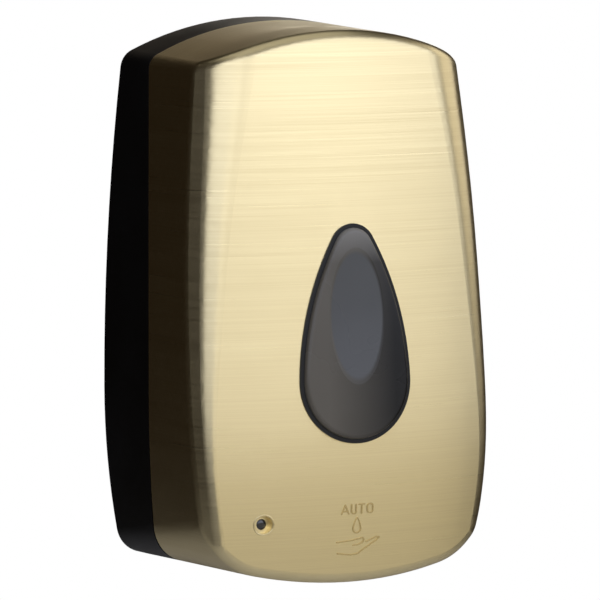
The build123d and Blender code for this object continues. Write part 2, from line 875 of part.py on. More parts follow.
with BuildPart() as face_marking:
    cap_z = auto_base + auto_height
    with BuildSketch(Plane.XZ.offset(case_depth - 20)):
        add(strokes([(-8.4, auto_base), (-6.5, cap_z), (-4.6, auto_base)], mark_width))
        add(strokes([(-7.6, auto_base + 1.3), (-5.4, auto_base + 1.3)], mark_width))
        left_stem = [(-3.1, cap_z), (-3.1, auto_base + 0.8), (-2.5, auto_base)]
        right_stem = [(-1.3, auto_base), (-0.7, auto_base + 0.8), (-0.7, cap_z)]
        add(strokes(left_stem + right_stem, mark_width))
        add(strokes([(0.8, cap_z), (3.8, cap_z)], mark_width))
        add(strokes([(2.3, cap_z), (2.3, auto_base)], mark_width))
        with Locations((6.85, auto_base + auto_height / 2)):
            RectangleRounded(2.9 + mark_width, auto_height + mark_width, 1.6)
            RectangleRounded(2.9 - mark_width, auto_height - mark_width, 0.9, mode=Mode.SUBTRACT)
        drop_low = auto_base - 7.3
        drop_high = auto_base - 2.2
        add(teardrop(drop_low, drop_high, 2.4, 0.45, 16.0))
        add(teardrop(drop_low, drop_high, 2.4 - mark_width, 0.1, 12.0), mode=Mode.SUBTRACT)
        hand_z = auto_base - 12.8
        upper = [(-10.4, -0.8), (-2.6, -0.2), (3.4, 0.9), (4.1, 0.1), (3.6, -1.3), (1.0, -2.4), (-1.6, -2.6)]
        lower = [(5.4, -1.2), (10.8, 0.9), (12.4, 0.6), (10.6, -1.0), (4.1, -4.7), (1.0, -6.9), (-2.9, -7.2)]
        add(strokes([(x, hand_z + z) for x, z in upper], mark_width))
        add(strokes([(x, hand_z + z) for x, z in lower + [(-9.8, -6.2)]], mark_width))
    extrude(amount=40)
    add(front_form(-mark_height), mode=Mode.INTERSECT)
    add(front_form(0), mode=Mode.SUBTRACT)
finish(face_marking, "face_marking")

# ---------------------------------------------------------------- latch
latch_arm_low = latch_arm_top - latch_arm_thick
bracket_top = latch_arm_low - latch_travel - bracket_room
stem_low = bracket_top - stem_grip
bracket_floor = stem_low - spring_length
bracket_low = bracket_floor - bracket_floor_thick
stem_x = (-stem_width / 2, stem_width / 2)
with BuildPart() as latch_bracket:
    bracket_x = (-stem_width / 2 - bracket_wall, stem_width / 2 + bracket_wall)
    add(block(bracket_x, (back_wall, stem_front + bracket_wall), (bracket_low, bracket_top)))
    guide_x = (stem_x[0] - slide_gap, stem_x[1] + slide_gap)
    guide_depths = (stem_back - slide_gap, stem_front + slide_gap)
    add(block(guide_x, guide_depths, (bracket_floor, bracket_top)), mode=Mode.SUBTRACT)
finish(latch_bracket, "latch_bracket")

with BuildPart() as latch:
    arm_x = (-latch_width / 2, latch_width / 2)
    add(block(stem_x, (stem_back, stem_front), (stem_low, latch_arm_low)))
    add(block(arm_x, (stem_back, nose_depth + nose_thick), (latch_arm_low, latch_arm_top)))
    nose_top = catch_bottom + latch_overlap
    add(block(arm_x, (nose_depth, nose_depth + nose_thick), (latch_arm_low, nose_top)))
    chamfer(latch.edges().group_by(Axis.Z)[-1].filter_by(Axis.X), nose_chamfer)
finish(latch, "latch")

with BuildPart() as latch_spring:
    spring_y = -(stem_back + stem_front) / 2
    spring_pitch = (spring_length - spring_wire) / spring_turns
    with BuildLine() as coil:
        start_z = bracket_floor + spring_wire / 2
        helix_radius = spring_radius - spring_wire / 2
        Helix(spring_pitch, spring_length - spring_wire, helix_radius, center=(0, spring_y, start_z))
    with BuildSketch(Plane(origin=coil.line @ 0, z_dir=coil.line % 0)):
        Circle(spring_wire / 2)
    sweep(path=coil.line)
finish(latch_spring, "latch_spring")

# ---------------------------------------------------------------- shelf and inlet socket
with BuildPart() as tank_shelf:
    shelf_x = (-shelf_half_width, shelf_half_width)
    add(block(shelf_x, (flange_depth, shelf_depth), (shelf_under, shelf_top)))
    fillet(tank_shelf.edges().filter_by(Axis.Z).sort_by(Axis.Y)[:2], tank_corner)
    flange_depths = (flange_depth, flange_depth + flange_thick)
    flange_x = (-flange_half_width, flange_half_width)
    add(block(flange_x, flange_depths, (shelf_under, shelf_top + flange_height)))
    for x in shelf_rib_x:
        rib_x = (x - shelf_rib_thick / 2, x + shelf_rib_thick / 2)
        rib_depths = (flange_depth, shelf_depth - shelf_rib_stop)
        add(block(rib_x, rib_depths, (shelf_under - shelf_rib_height, shelf_under)))
    spigot_hole = (shelf_under - over, shelf_top + over)
    add(post(0, spigot_y, spigot_radius + spigot_room, spigot_hole), mode=Mode.SUBTRACT)
    for x, z in shelf_screw_spots:
        hole = (flange_depth - over, flange_depth + flange_thick + over)
        add(rod(x, z, screw_radius + running_gap, hole), mode=Mode.SUBTRACT)
finish(tank_shelf, "tank_shelf")

with BuildPart() as shelf_screws:
    for x, z in shelf_screw_spots:
        add(screw(x, z, flange_depth + flange_thick, flange_thick + shelf_screw_bite))
finish(shelf_screws, "shelf_screws")

with BuildPart() as inlet_socket:
    nipple_low = tube_top_turn + hair_gap
    with BuildSketch(Plane.YZ):
        with BuildLine():
            y0 = spigot_y
            cup = socket_radius + socket_wall
            Polyline(
                (y0 + tube_bore - nipple_wall, nipple_low),
                (y0 + tube_bore, nipple_low),
                (y0 + tube_bore, socket_floor),
                (y0 + cup, socket_floor),
                (y0 + cup, shelf_under - socket_flange_thick),
                (y0 + cup + socket_flange_width, shelf_under - socket_flange_thick),
                (y0 + cup + socket_flange_width, shelf_under),
                (y0 + socket_radius, shelf_under),
                (y0 + socket_radius, socket_floor + socket_floor_thick),
                (y0 + tube_bore - nipple_wall, socket_floor + socket_floor_thick),
                close=True,
            )
        make_face()
    revolve(axis=Axis((0, spigot_y, 0), (0, 0, 1)))
finish(inlet_socket, "inlet_socket")

# ---------------------------------------------------------------- tank and cap
tank_x = (-tank_half_width, tank_half_width)
neck_top = tank_top + neck_height
spigot_low = shelf_top - spigot_length
groove_z = (spigot_low + oring_land, spigot_low + oring_land + 2 * oring_radius)
groove_radius = socket_radius - slide_gap - 2 * oring_radius
bayonet_low = neck_top - bayonet_drop
with BuildPart() as tank:
    add(block(tank_x, (tank_back, tank_front), (shelf_top, tank_top)))
    fillet(tank.edges().filter_by(Axis.Z), tank_corner)
    fillet(tank.edges().group_by(Axis.Z)[-1], tank_corner / 2)
    add(post(0, neck_y, neck_radius, (tank_top - over, neck_top)))
    add(post(0, spigot_y, spigot_radius, (spigot_low, shelf_top + over)))
    with BuildSketch(Plane.XY.offset(shelf_top + tank_wall)):
        with Locations((0, -(tank_back + tank_front) / 2)):
            room_width = 2 * (tank_half_width - tank_wall)
            room_depth = tank_front - tank_back - 2 * tank_wall
            RectangleRounded(room_width, room_depth, tank_corner - tank_wall)
    extrude(amount=tank_top - shelf_top - 2 * tank_wall, mode=Mode.SUBTRACT)
    add(post(0, neck_y, neck_radius - neck_wall, (tank_top - 5, neck_top + 1)), mode=Mode.SUBTRACT)
    add(post(0, spigot_y, spigot_bore, (spigot_low - 1, shelf_top + 5)), mode=Mode.SUBTRACT)
    add(collar(spigot_y, groove_radius, spigot_radius + 1, groove_z), mode=Mode.SUBTRACT)
    for start in bayonet_starts:
        lug_z = (bayonet_low, bayonet_low + bayonet_height)
        lug_outer = neck_radius + bayonet_reach
        add(collar_arc(neck_y, neck_radius - sink, lug_outer, lug_z, start, bayonet_turn))
finish(tank, "tank")

with BuildPart() as spigot_seal:
    add(collar(spigot_y, groove_radius, groove_radius + 2 * oring_radius, groove_z))
    ring_edges = spigot_seal.edges().filter_by(GeomType.CIRCLE).sort_by(SortBy.RADIUS)[-2:]
    fillet(ring_edges, oring_radius * 0.9)
finish(spigot_seal, "spigot_seal")

seal_top = neck_top + seal_thick
cap_top = seal_top + cap_wall
with BuildPart() as cap_seal:
    add(collar(neck_y, neck_radius - neck_wall - seal_lap, neck_radius, (neck_top, seal_top)))
finish(cap_seal, "cap_seal")

with BuildPart() as tank_cap:
    skirt_low = tank_top + cap_foot_gap
    inner_radius = cap_radius - cap_wall
    add(post(0, neck_y, cap_radius, (skirt_low, cap_top)))
    fillet(tank_cap.edges().group_by(Axis.Z)[-1], cap_round)
    add(post(0, neck_y, inner_radius, (skirt_low - over, seal_top)), mode=Mode.SUBTRACT)
    hook_z = (skirt_low, bayonet_low - free_gap)
    for start in bayonet_starts:
        hook_inner = neck_radius + free_gap
        add(collar_arc(neck_y, hook_inner, inner_radius + sink, hook_z, start, bayonet_turn))
    grip_length = 2 * (inner_radius - cap_grip_margin)
    with BuildSketch(Plane.XY.offset(cap_top - sink)):
        with Locations((0, neck_y)):
            SlotOverall(grip_length, cap_grip_width)
    extrude(amount=sink + cap_grip_height)
    fillet(tank_cap.edges().group_by(Axis.Z)[-1], cap_grip_round)
    with BuildSketch(Plane.XY.offset(skirt_low)):
        with Locations((0, neck_y)):
            with PolarLocations(cap_radius + cap_rib_offset, cap_ribs):
                Circle(cap_rib_radius)
    extrude(amount=cap_top - skirt_low - 2, mode=Mode.SUBTRACT)
finish(tank_cap, "tank_cap")

# ---------------------------------------------------------------- pump
with BuildPart() as pump_tube:
    with BuildLine(Plane.XZ.offset(tube_depth)) as tube_path:
        turn_mid = bend_radius * (1 - cos(radians(45)))
        upper_z = pump_z + loop_radius
        lower_z = pump_z - loop_radius
        Line((0, socket_floor), (0, tube_top_turn))
        ThreePointArc((0, tube_top_turn), (-turn_mid, upper_z + turn_mid), (-bend_radius, upper_z))
        Line((-bend_radius, upper_z), (pump_x, upper_z))
        ThreePointArc((pump_x, upper_z), (pump_x - loop_radius, pump_z), (pump_x, lower_z))
        Line((pump_x, lower_z), (-bend_radius, lower_z))
        ThreePointArc((-bend_radius, lower_z), (-turn_mid, lower_z - turn_mid), (0, tube_end_turn))
        Line((0, tube_end_turn), (0, tube_bottom))
    with BuildSketch(Plane.XY.offset(socket_floor)):
        with Locations((0, spigot_y)):
            Circle(tube_radius)
            Circle(tube_bore, mode=Mode.SUBTRACT)
    sweep(path=tube_path.line)
finish(pump_tube, "pump_tube")

rim_right = pump_x + loop_radius + tube_radius + pump_rim_wall
rim_left = pump_x - loop_radius - tube_radius - pump_rim_wall
floor_back = pump_floor - pump_floor_thick
channel_half = tube_radius + free_gap
cover_screw_spots = [
    (x, z)
    for x in (rim_left + pump_rim_wall, rim_right - pump_rim_wall)
    for z in (module_bottom + pump_rim_wall, module_top - pump_rim_wall)
]
with BuildPart() as pump_housing:
    floor_depths = (floor_back, pump_floor)
    module_x = (-module_half_width, module_half_width)
    add(plate(module_x, floor_depths, (module_bottom, module_top), corner_round))
    rim_z = (module_bottom, module_top)
    add(plate((rim_left, rim_right), (pump_floor, pump_rim), rim_z, corner_round))
    well = loop_radius + tube_radius + slide_gap
    channel_depths = (pump_floor, pump_rim + over)
    add(rod(pump_x, pump_z, well, channel_depths), mode=Mode.SUBTRACT)
    channel_x = (pump_x, channel_half)
    upper_channel = (pump_z + loop_radius - channel_half, module_top + over)
    lower_channel = (module_bottom - over, pump_z - loop_radius + channel_half)
    add(block(channel_x, channel_depths, upper_channel), mode=Mode.SUBTRACT)
    add(block(channel_x, channel_depths, lower_channel), mode=Mode.SUBTRACT)
    for x, z in module_screw_spots:
        add(rod(x, z, post_radius - sink, (gearbox_depth + gearbox_thick, floor_back)))
        bore = (gearbox_depth, pump_floor + over)
        add(rod(x, z, screw_radius + running_gap, bore), mode=Mode.SUBTRACT)
        add(rod(x, z, screw_head_radius + free_gap, channel_depths), mode=Mode.SUBTRACT)
    for x, z in cover_screw_spots:
        bore = (pump_rim - cover_screw_bite - tip_room, pump_rim + over)
        add(rod(x, z, screw_radius, bore), mode=Mode.SUBTRACT)
    shaft_hole = (floor_back - over, pump_floor + over)
    shaft_radius = rotor_shaft_radius + running_gap
    add(rod(pump_x, pump_z, shaft_radius, shaft_hole), mode=Mode.SUBTRACT)
    add(rod(idler_x, idler_z, idler_shaft_radius, shaft_hole), mode=Mode.SUBTRACT)
finish(pump_housing, "pump_housing")

with BuildPart() as pump_cover:
    cover_depths = (pump_rim, pump_rim + pump_cover_thick)
    add(plate((rim_left, rim_right), cover_depths, rim_z, corner_round))
    for x, z in cover_screw_spots:
        hole = (pump_rim - over, pump_rim + pump_cover_thick + over)
        add(rod(x, z, screw_radius + running_gap, hole), mode=Mode.SUBTRACT)
finish(pump_cover, "pump_cover")

with BuildPart() as pump_cover_screws:
    for x, z in cover_screw_spots:
        add(screw(x, z, pump_rim + pump_cover_thick, pump_cover_thick + cover_screw_bite))
finish(pump_cover_screws, "pump_cover_screws")

with BuildPart() as module_screws:
    for x, z in module_screw_spots:
        add(screw(x, z, pump_floor, pump_floor - gearbox_depth + module_screw_bite))
finish(module_screws, "module_screws")

rotor_back = pump_floor + roller_gap
roller_back = rotor_back + rotor_plate_thick + roller_gap
roller_front = 2 * tube_depth - roller_back
plate_front = roller_front + roller_gap
rotor_front = plate_front + rotor_plate_thick
roller_spots = [
    (pump_x + roller_orbit * cos(angle), pump_z + roller_orbit * sin(angle))
    for angle in (pi + index * 2 * pi / roller_count for index in range(roller_count))
]
with BuildPart() as rotor:
    plate_radius = roller_orbit + roller_radius - roller_show
    add(rod(pump_x, pump_z, plate_radius, (rotor_back, rotor_back + rotor_plate_thick)))
    add(rod(pump_x, pump_z, plate_radius, (plate_front, rotor_front)))
    add(rod(pump_x, pump_z, rotor_hub_radius, (rotor_back, rotor_front)))
    through = (rotor_back - over, rotor_front + over)
    add(rod(pump_x, pump_z, rotor_shaft_radius, through), mode=Mode.SUBTRACT)
    for x, z in roller_spots:
        add(rod(x, z, roller_pin_radius, through), mode=Mode.SUBTRACT)
finish(rotor, "rotor")

with BuildPart() as roller_pins:
    for x, z in roller_spots:
        add(rod(x, z, roller_pin_radius, (rotor_back, rotor_front)))
finish(roller_pins, "roller_pins")

for number, (x, z) in enumerate(roller_spots, start=1):
    with BuildPart() as roller:
        add(rod(x, z, roller_radius, (roller_back, roller_front)))
        fillet(roller.edges().filter_by(GeomType.CIRCLE), roller_round)
        bore = (roller_back - over, roller_front + over)
        add(rod(x, z, roller_pin_radius + running_gap, bore), mode=Mode.SUBTRACT)
    finish(roller, f"roller_{number}")

with BuildPart() as rotor_shaft:
    shaft_depths = (gearbox_depth + shaft_stick_out, rotor_front + shaft_stick_out)
    add(rod(pump_x, pump_z, rotor_shaft_radius, shaft_depths))
    chamfer(rotor_shaft.edges().filter_by(GeomType.CIRCLE), shaft_chamfer)
finish(rotor_shaft, "rotor_shaft")

# ---------------------------------------------------------------- gears, motor and gearbox plate
hub_depths = (gearbox_depth + gearbox_thick + roller_gap, floor_back - roller_gap)
with BuildPart() as output_gear:
    with BuildSketch(Plane.XZ.offset(layer_a)):
        with Locations((pump_x, pump_z)):
            add(gear_outline(output_teeth, output_module, idler_direction))
    extrude(amount=layer_a_thick)
    add(rod(pump_x, pump_z, output_hub_radius, hub_depths))
    add(rod(pump_x, pump_z, rotor_shaft_radius, (0, case_depth)), mode=Mode.SUBTRACT)
finish(output_gear, "output_gear")

with BuildPart() as idler_gear:
    pinion_phase = idler_direction + pi + pi / pinion_teeth
    with BuildSketch(Plane.XZ.offset(layer_b + layer_b_thick)):
        with Locations((idler_x, idler_z)):
            add(gear_outline(pinion_teeth, output_module, pinion_phase))
    extrude(amount=layer_a + layer_a_thick - layer_b - layer_b_thick)
    with BuildSketch(Plane.XZ.offset(layer_b)):
        with Locations((idler_x, idler_z)):
            add(gear_outline(wheel_teeth, motor_module, motor_direction))
    extrude(amount=layer_b_thick)
    add(rod(idler_x, idler_z, idler_hub_radius, hub_depths))
    bore_radius = idler_shaft_radius + running_gap
    add(rod(idler_x, idler_z, bore_radius, (0, case_depth)), mode=Mode.SUBTRACT)
finish(idler_gear, "idler_gear")

with BuildPart() as idler_shaft:
    add(rod(idler_x, idler_z, idler_shaft_radius, (gearbox_depth, pump_floor)))
finish(idler_shaft, "idler_shaft")

motor_back = gearbox_depth - motor_length
boss_front = gearbox_depth + gearbox_thick - motor_boss_inset
with BuildPart() as motor_pinion:
    with BuildSketch(Plane.XZ.offset(layer_b)):
        with Locations((motor_x, motor_z)):
            add(gear_outline(motor_teeth, motor_module, motor_direction + pi + pi / motor_teeth))
    extrude(amount=layer_b_thick)
    shaft_depths = (motor_back + motor_shaft_depth, layer_b + layer_b_thick + shaft_stick_out)
    add(rod(motor_x, motor_z, motor_shaft_radius, shaft_depths))
finish(motor_pinion, "motor_pinion")

with BuildPart() as motor:
    add(rod(motor_x, motor_z, motor_radius, (motor_back, gearbox_depth)))
    fillet(motor.edges().filter_by(GeomType.CIRCLE), motor_round)
    add(rod(motor_x, motor_z, motor_boss_radius, (gearbox_depth - over, boss_front)))
    for side in (-1, 1):
        tab_middle = motor_x + side * terminal_x
        tab_x = (tab_middle - terminal_width / 2, tab_middle + terminal_width / 2)
        tab_z = (motor_z - terminal_thick / 2, motor_z + terminal_thick / 2)
        add(block(tab_x, (motor_back - terminal_length, motor_back + over), tab_z))
    bore = (motor_back + motor_shaft_depth - tip_room, boss_front + over)
    bore_radius = motor_shaft_radius + running_gap
    add(rod(motor_x, motor_z, bore_radius, bore), mode=Mode.SUBTRACT)
finish(motor, "motor")

with BuildPart() as gearbox_plate:
    plate_depths = (gearbox_depth, gearbox_depth + gearbox_thick)
    through = (gearbox_depth - over, gearbox_depth + gearbox_thick + over)
    add(plate(module_x, plate_depths, (module_bottom, module_top), corner_round))
    for x, z in module_screw_spots:
        add(rod(x, z, screw_radius + running_gap, through), mode=Mode.SUBTRACT)
    add(rod(pump_x, pump_z, shaft_radius, through), mode=Mode.SUBTRACT)
    add(rod(idler_x, idler_z, idler_shaft_radius, through), mode=Mode.SUBTRACT)
    add(rod(motor_x, motor_z, motor_boss_radius, through), mode=Mode.SUBTRACT)
finish(gearbox_plate, "gearbox_plate")

# ---------------------------------------------------------------- batteries
bay_z = (bay_bottom, bay_top)
cell_spacing = (bay_width - 2 * battery_wall) / 2
left_bay_x = (-bay_far_x, -bay_inner_x)
with BuildPart() as battery_box:
    add(plate(left_bay_x, (back_wall, battery_depth), bay_z, bay_round))
    inner_x = (left_bay_x[0] + battery_wall, left_bay_x[1] - battery_wall)
    inner_z = (bay_bottom + battery_wall, bay_top - battery_wall)
    inner_depths = (back_wall + battery_wall, battery_depth + over)
    add(block(inner_x, inner_depths, inner_z), mode=Mode.SUBTRACT)
finish(battery_box, "battery_box")

cell_spots = []
for column in (-0.5, 0.5):
    for row in (0.5, 1.5):
        cell_x = -bay_inner_x - bay_width / 2 + column * cell_spacing
        cell_spots.append((cell_x, -(back_wall + battery_wall + row * cell_spacing)))
cell_low = (bay_bottom + bay_top - cell_length) / 2
with BuildPart() as batteries:
    for x, y in cell_spots:
        body_radius = min(cell_radius, cell_spacing / 2) - cell_gap
        add(post(x, y, body_radius, (cell_low, cell_low + cell_length - button_height)))
        add(post(x, y, button_radius, (cell_low, cell_low + cell_length)))
finish(batteries, "batteries")

with BuildPart() as battery_contacts:
    for x, y in cell_spots:
        for end, cell_end in ((inner_z[0], cell_low), (inner_z[1], cell_low + cell_length)):
            inward = contact_thick if end < cell_end else -contact_thick
            with Locations((x, y, end + inward / 2)):
                Box(contact_width, contact_width, contact_thick)
            add(post(x, y, contact_spring_radius, (end + inward, cell_end)))
finish(battery_contacts, "battery_contacts")

with BuildPart() as battery_door:
    add(plate(left_bay_x, (battery_depth, battery_depth + door_thick), bay_z, bay_round))
    door_front = battery_depth + door_thick
    for row in range(door_ribs):
        rib_z = bay_top - door_rib_top - door_rib_pitch * row
        rib_x = (left_bay_x[0] + door_rib_inset, left_bay_x[1] - door_rib_inset)
        rib_depths = (door_front - hair_gap, door_front + door_rib_proud)
        add(block(rib_x, rib_depths, (rib_z, rib_z + door_rib_width)))
finish(battery_door, "battery_door")

# ---------------------------------------------------------------- electronics
right_bay_x = (bay_inner_x, bay_far_x)
board_front = board_depth + board_thick
board_x = (right_bay_x[0] + board_margin, right_bay_x[1] - board_margin)
board_z = (bay_bottom + board_margin, bay_top - board_margin)
with BuildPart() as control_board:
    add(block(board_x, (board_depth, board_front), board_z))
    for x, z in board_screw_spots:
        hole = (board_depth - over, board_front + over)
        add(rod(x, z, screw_radius + running_gap, hole), mode=Mode.SUBTRACT)
finish(control_board, "control_board")

middle_x = bay_inner_x + bay_width / 2
power_z = bay_top - power_drop
dose_z = bay_top - dose_drop
cover_face = electronics_depth - electronics_wall
switch_front = cover_face - switch_room
with BuildPart() as board_components:
    for z in (power_z, dose_z):
        switch_x = (middle_x - switch_body[0], middle_x + switch_body[0])
        switch_z = (z - switch_body[1], z + switch_body[1])
        add(block(switch_x, (board_front, switch_front), switch_z))
    chip_z = (power_z + dose_z) / 2
    chip_x = (middle_x - chip_half, middle_x + chip_half)
    add(block(chip_x, (board_front, board_front + chip_thick), (chip_z - chip_half, chip_z + chip_half)))
    for z in (chip_z - 3, chip_z + 5):
        add(rod(middle_x + capacitor_x, z, capacitor_radius, (board_front, board_front + capacitor_length)))
    socket_x = (middle_x + connector_x[0], middle_x + connector_x[1])
    for z in (chip_z, chip_z - 15):
        socket_z = (z - connector_half_height, z + connector_half_height)
        add(block(socket_x, (board_front, board_front + connector_length), socket_z))
    add(rod(middle_x + coil_x, dose_z - coil_drop, coil_radius, (board_front, board_front + coil_length)))
finish(board_components, "board_components")

with BuildPart() as electronics_cover:
    add(plate(right_bay_x, (back_wall, electronics_depth), bay_z, bay_round))
    fillet(electronics_cover.edges().group_by(Axis.Y)[0], electronics_round)
    inner_x = (right_bay_x[0] + electronics_wall, right_bay_x[1] - electronics_wall)
    inner_z = (bay_bottom + electronics_wall, bay_top - electronics_wall)
    add(block(inner_x, (0, cover_face), inner_z), mode=Mode.SUBTRACT)
    slot_x = (middle_x - stem_half - slide_gap, middle_x + stem_half + slide_gap)
    slot_depths = (cover_face - over, electronics_depth + over)
    power_slot = (power_z - stem_half - slide_gap, power_z + stem_half + slide_gap + switch_travel)
    dose_reach = stem_half + slide_gap + switch_travel
    add(block(slot_x, slot_depths, power_slot), mode=Mode.SUBTRACT)
    add(block(slot_x, slot_depths, (dose_z - dose_reach, dose_z + dose_reach)), mode=Mode.SUBTRACT)
finish(electronics_cover, "electronics_cover")

knob_sizes = (("power_switch", power_z, power_half_length), ("dose_selector", dose_z, dose_half_length))
for name, z, length in knob_sizes:
    with BuildPart() as knob:
        knob_x = (middle_x - stem_half, middle_x + stem_half)
        knob_z = (z - stem_half, z + stem_half)
        knob_face = electronics_depth + knob_gap
        cap_x = (middle_x - knob_half_width, middle_x + knob_half_width)
        add(block(knob_x, (switch_front + slide_gap, knob_face + over), knob_z))
        add(block(cap_x, (knob_face, knob_face + knob_thick), (z - length, z + length)))
        fillet(knob.edges().group_by(Axis.Y)[0], knob_round)
    finish(knob, name)

with BuildPart() as board_screws:
    for x, z in board_screw_spots:
        add(screw(x, z, board_front, board_thick + board_screw_bite))
finish(board_screws, "board_screws")

# ---------------------------------------------------------------- sensor block and nozzle
with BuildPart() as block_room:
    room_half = block_half_width - block_wall
    room_depths = (block_back + block_wall, block_front - block_wall)
    add(block((-room_half, room_half), room_depths, (bottom_z, block_top + over)))
    add(body_form(block_wall), mode=Mode.INTERSECT)

with BuildPart() as block_tongue:
    tongue_half = block_half_width - tongue_inset
    tongue_depths = (tongue_back, block_back + tongue_lap)
    add(block((-tongue_half, tongue_half), tongue_depths, (bottom_z, bottom_z + tongue_height)))
    add(body_form(housing_wall), mode=Mode.INTERSECT)

nozzle_tip = bottom_z + nozzle_inset
with BuildPart() as sensor_block:
    add(block((-block_half_width, block_half_width), (20, block_front), (bottom_z, block_top)))
    add(behind_seam(hair_gap, seam_lower_radius), mode=Mode.SUBTRACT)
    add(block_room.part, mode=Mode.SUBTRACT)
    add(post(0, spigot_y, nozzle_radius + nozzle_wall, (bottom_z, block_top)))
    for side in (-1, 1):
        add(post(side * ir_spacing / 2, ir_y, ir_radius + ir_wall, (bottom_z, bottom_z + ir_height)))
    add(body_form(0), mode=Mode.INTERSECT)
    add(block_tongue.part)
    add(post(0, spigot_y, nozzle_radius, (bottom_z - over, block_top + over)), mode=Mode.SUBTRACT)
    for side in (-1, 1):
        add(post(side * ir_spacing / 2, ir_y, ir_radius, (bottom_z - over, block_top)), mode=Mode.SUBTRACT)
finish(sensor_block, "sensor_block")

with BuildPart() as ir_lenses:
    for side in (-1, 1):
        add(post(side * ir_spacing / 2, ir_y, ir_radius, (bottom_z, bottom_z + ir_lens_height)))
    add(body_form(ir_inset), mode=Mode.INTERSECT)
finish(ir_lenses, "ir_lenses")

with BuildPart() as nozzle:
    with BuildSketch(Plane.YZ):
        with BuildLine():
            y0 = spigot_y
            Polyline(
                (y0 + nozzle_bore, nozzle_tip),
                (y0 + nozzle_radius - nozzle_taper, nozzle_tip),
                (y0 + nozzle_radius, nozzle_tip + nozzle_taper_height),
                (y0 + nozzle_radius, tube_bottom),
                (y0 + tube_bore, tube_bottom),
                (y0 + tube_bore, tube_bottom + nozzle_seat),
                (y0 + nozzle_bore, tube_bottom + nozzle_seat),
                close=True,
            )
        make_face()
    revolve(axis=Axis((0, spigot_y, 0), (0, 0, 1)))
finish(nozzle, "nozzle")
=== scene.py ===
import json
import math
import bmesh
import bpy
from mathutils import Matrix, Vector
from mathutils.bvhtree import BVHTree


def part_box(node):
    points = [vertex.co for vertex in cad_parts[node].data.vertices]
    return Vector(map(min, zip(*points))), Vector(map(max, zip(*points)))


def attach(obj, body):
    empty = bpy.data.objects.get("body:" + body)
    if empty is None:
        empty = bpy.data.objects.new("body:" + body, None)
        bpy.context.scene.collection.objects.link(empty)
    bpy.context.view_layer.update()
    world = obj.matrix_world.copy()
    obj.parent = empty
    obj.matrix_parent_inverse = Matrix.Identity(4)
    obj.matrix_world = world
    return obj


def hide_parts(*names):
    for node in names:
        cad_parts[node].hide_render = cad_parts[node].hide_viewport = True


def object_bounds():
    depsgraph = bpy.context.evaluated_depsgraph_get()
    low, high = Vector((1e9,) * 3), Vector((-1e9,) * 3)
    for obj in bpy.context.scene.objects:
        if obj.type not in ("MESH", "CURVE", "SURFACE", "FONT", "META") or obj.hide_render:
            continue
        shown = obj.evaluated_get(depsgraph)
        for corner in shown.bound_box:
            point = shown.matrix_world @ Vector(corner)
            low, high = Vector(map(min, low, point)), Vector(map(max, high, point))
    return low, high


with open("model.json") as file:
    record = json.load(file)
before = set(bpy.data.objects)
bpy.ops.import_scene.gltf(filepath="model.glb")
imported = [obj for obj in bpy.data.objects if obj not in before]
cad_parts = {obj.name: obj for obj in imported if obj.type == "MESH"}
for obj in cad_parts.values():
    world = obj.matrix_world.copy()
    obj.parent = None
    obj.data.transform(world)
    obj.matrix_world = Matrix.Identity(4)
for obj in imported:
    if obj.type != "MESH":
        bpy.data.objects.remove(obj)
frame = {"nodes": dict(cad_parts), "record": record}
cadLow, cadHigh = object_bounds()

nodes = frame["nodes"]
mm = 0.001


# ---- camera and studio

viewpoint = {"azimuth": -27.0, "elevation": 5.58, "distance": 2.5, "lens": 310.0, "shiftX": -0.013}


def directionOf(azimuth, elevation):
    a, e = math.radians(azimuth), math.radians(elevation)
    return Vector((math.sin(a) * math.cos(e), -math.cos(a) * math.cos(e), math.sin(e)))


def makeCamera():
    target = Vector((0, (cadLow.y + cadHigh.y) / 2, 0))
    back = directionOf(viewpoint["azimuth"], viewpoint["elevation"])
    lens = bpy.data.cameras.new("studioCamera")
    lens.lens = viewpoint["lens"]
    lens.shift_x = viewpoint["shiftX"]
    lens.clip_start = 0.1
    lens.clip_end = 50
    camera = bpy.data.objects.new("studioCamera", lens)
    bpy.context.scene.collection.objects.link(camera)
    camera.location = target + back * viewpoint["distance"]
    camera.rotation_euler = (-back).to_track_quat("-Z", "Y").to_euler()
    bpy.context.scene.camera = camera


# each panel: direction, distance, width, height, middle height, brightness of its surface, colour
studio = {
    "keyPanel": (26, 1.25, 1.75, 1.15, 0.585, 1.44, (0.92, 0.975, 1.17)),
    "horizonPanel": (10, 1.2, 1.9, 0.26, 0.13, 0.3, (1.0, 0.95, 0.8)),
    "bandPanel": (18, 1.15, 0.6, 0.9, 0.6, 0.2, (0.95, 1.0, 1.15)),
    "leftPanel": (-38, 1.3, 1.35, 1.15, 0.585, 1.55, (0.92, 0.975, 1.17)),
    "sidePanel": (88, 1.3, 0.95, 1.15, 0.575, 1.0, (1.0, 0.97, 0.95)),
    "lowPanel": (15, 1.25, 2.05, 0.8, -0.43, 0.55, (1.0, 0.94, 0.80)),
    "rearPanel": (166, 1.3, 0.75, 0.9, 0.35, 0.2, (1.0, 0.86, 0.68)),
    "rearBand": (150, 1.25, 0.5, 0.3, 0.25, 1.5, (1.0, 0.95, 0.85)),
}
overhead = {"height": 1.5, "forward": -0.2, "size": 1.6, "brightness": 0.5}
room = {"glow": (0.012, 0.008, 0.0045, 1), "floorLevel": -0.7, "floorSize": 2.6, "floorGlow": 0.62}


def addPanel(name, position, facing, width, height, brightness, colour):
    data = bpy.data.lights.new(name, "AREA")
    data.shape = "RECTANGLE"
    data.size = width
    data.size_y = height
    data.energy = brightness * math.pi * width * height
    data.color = colour
    light = bpy.data.objects.new(name, data)
    bpy.context.scene.collection.objects.link(light)
    light.location = position
    light.rotation_euler = facing.to_track_quat("-Z", "Y").to_euler()
    light.visible_camera = False


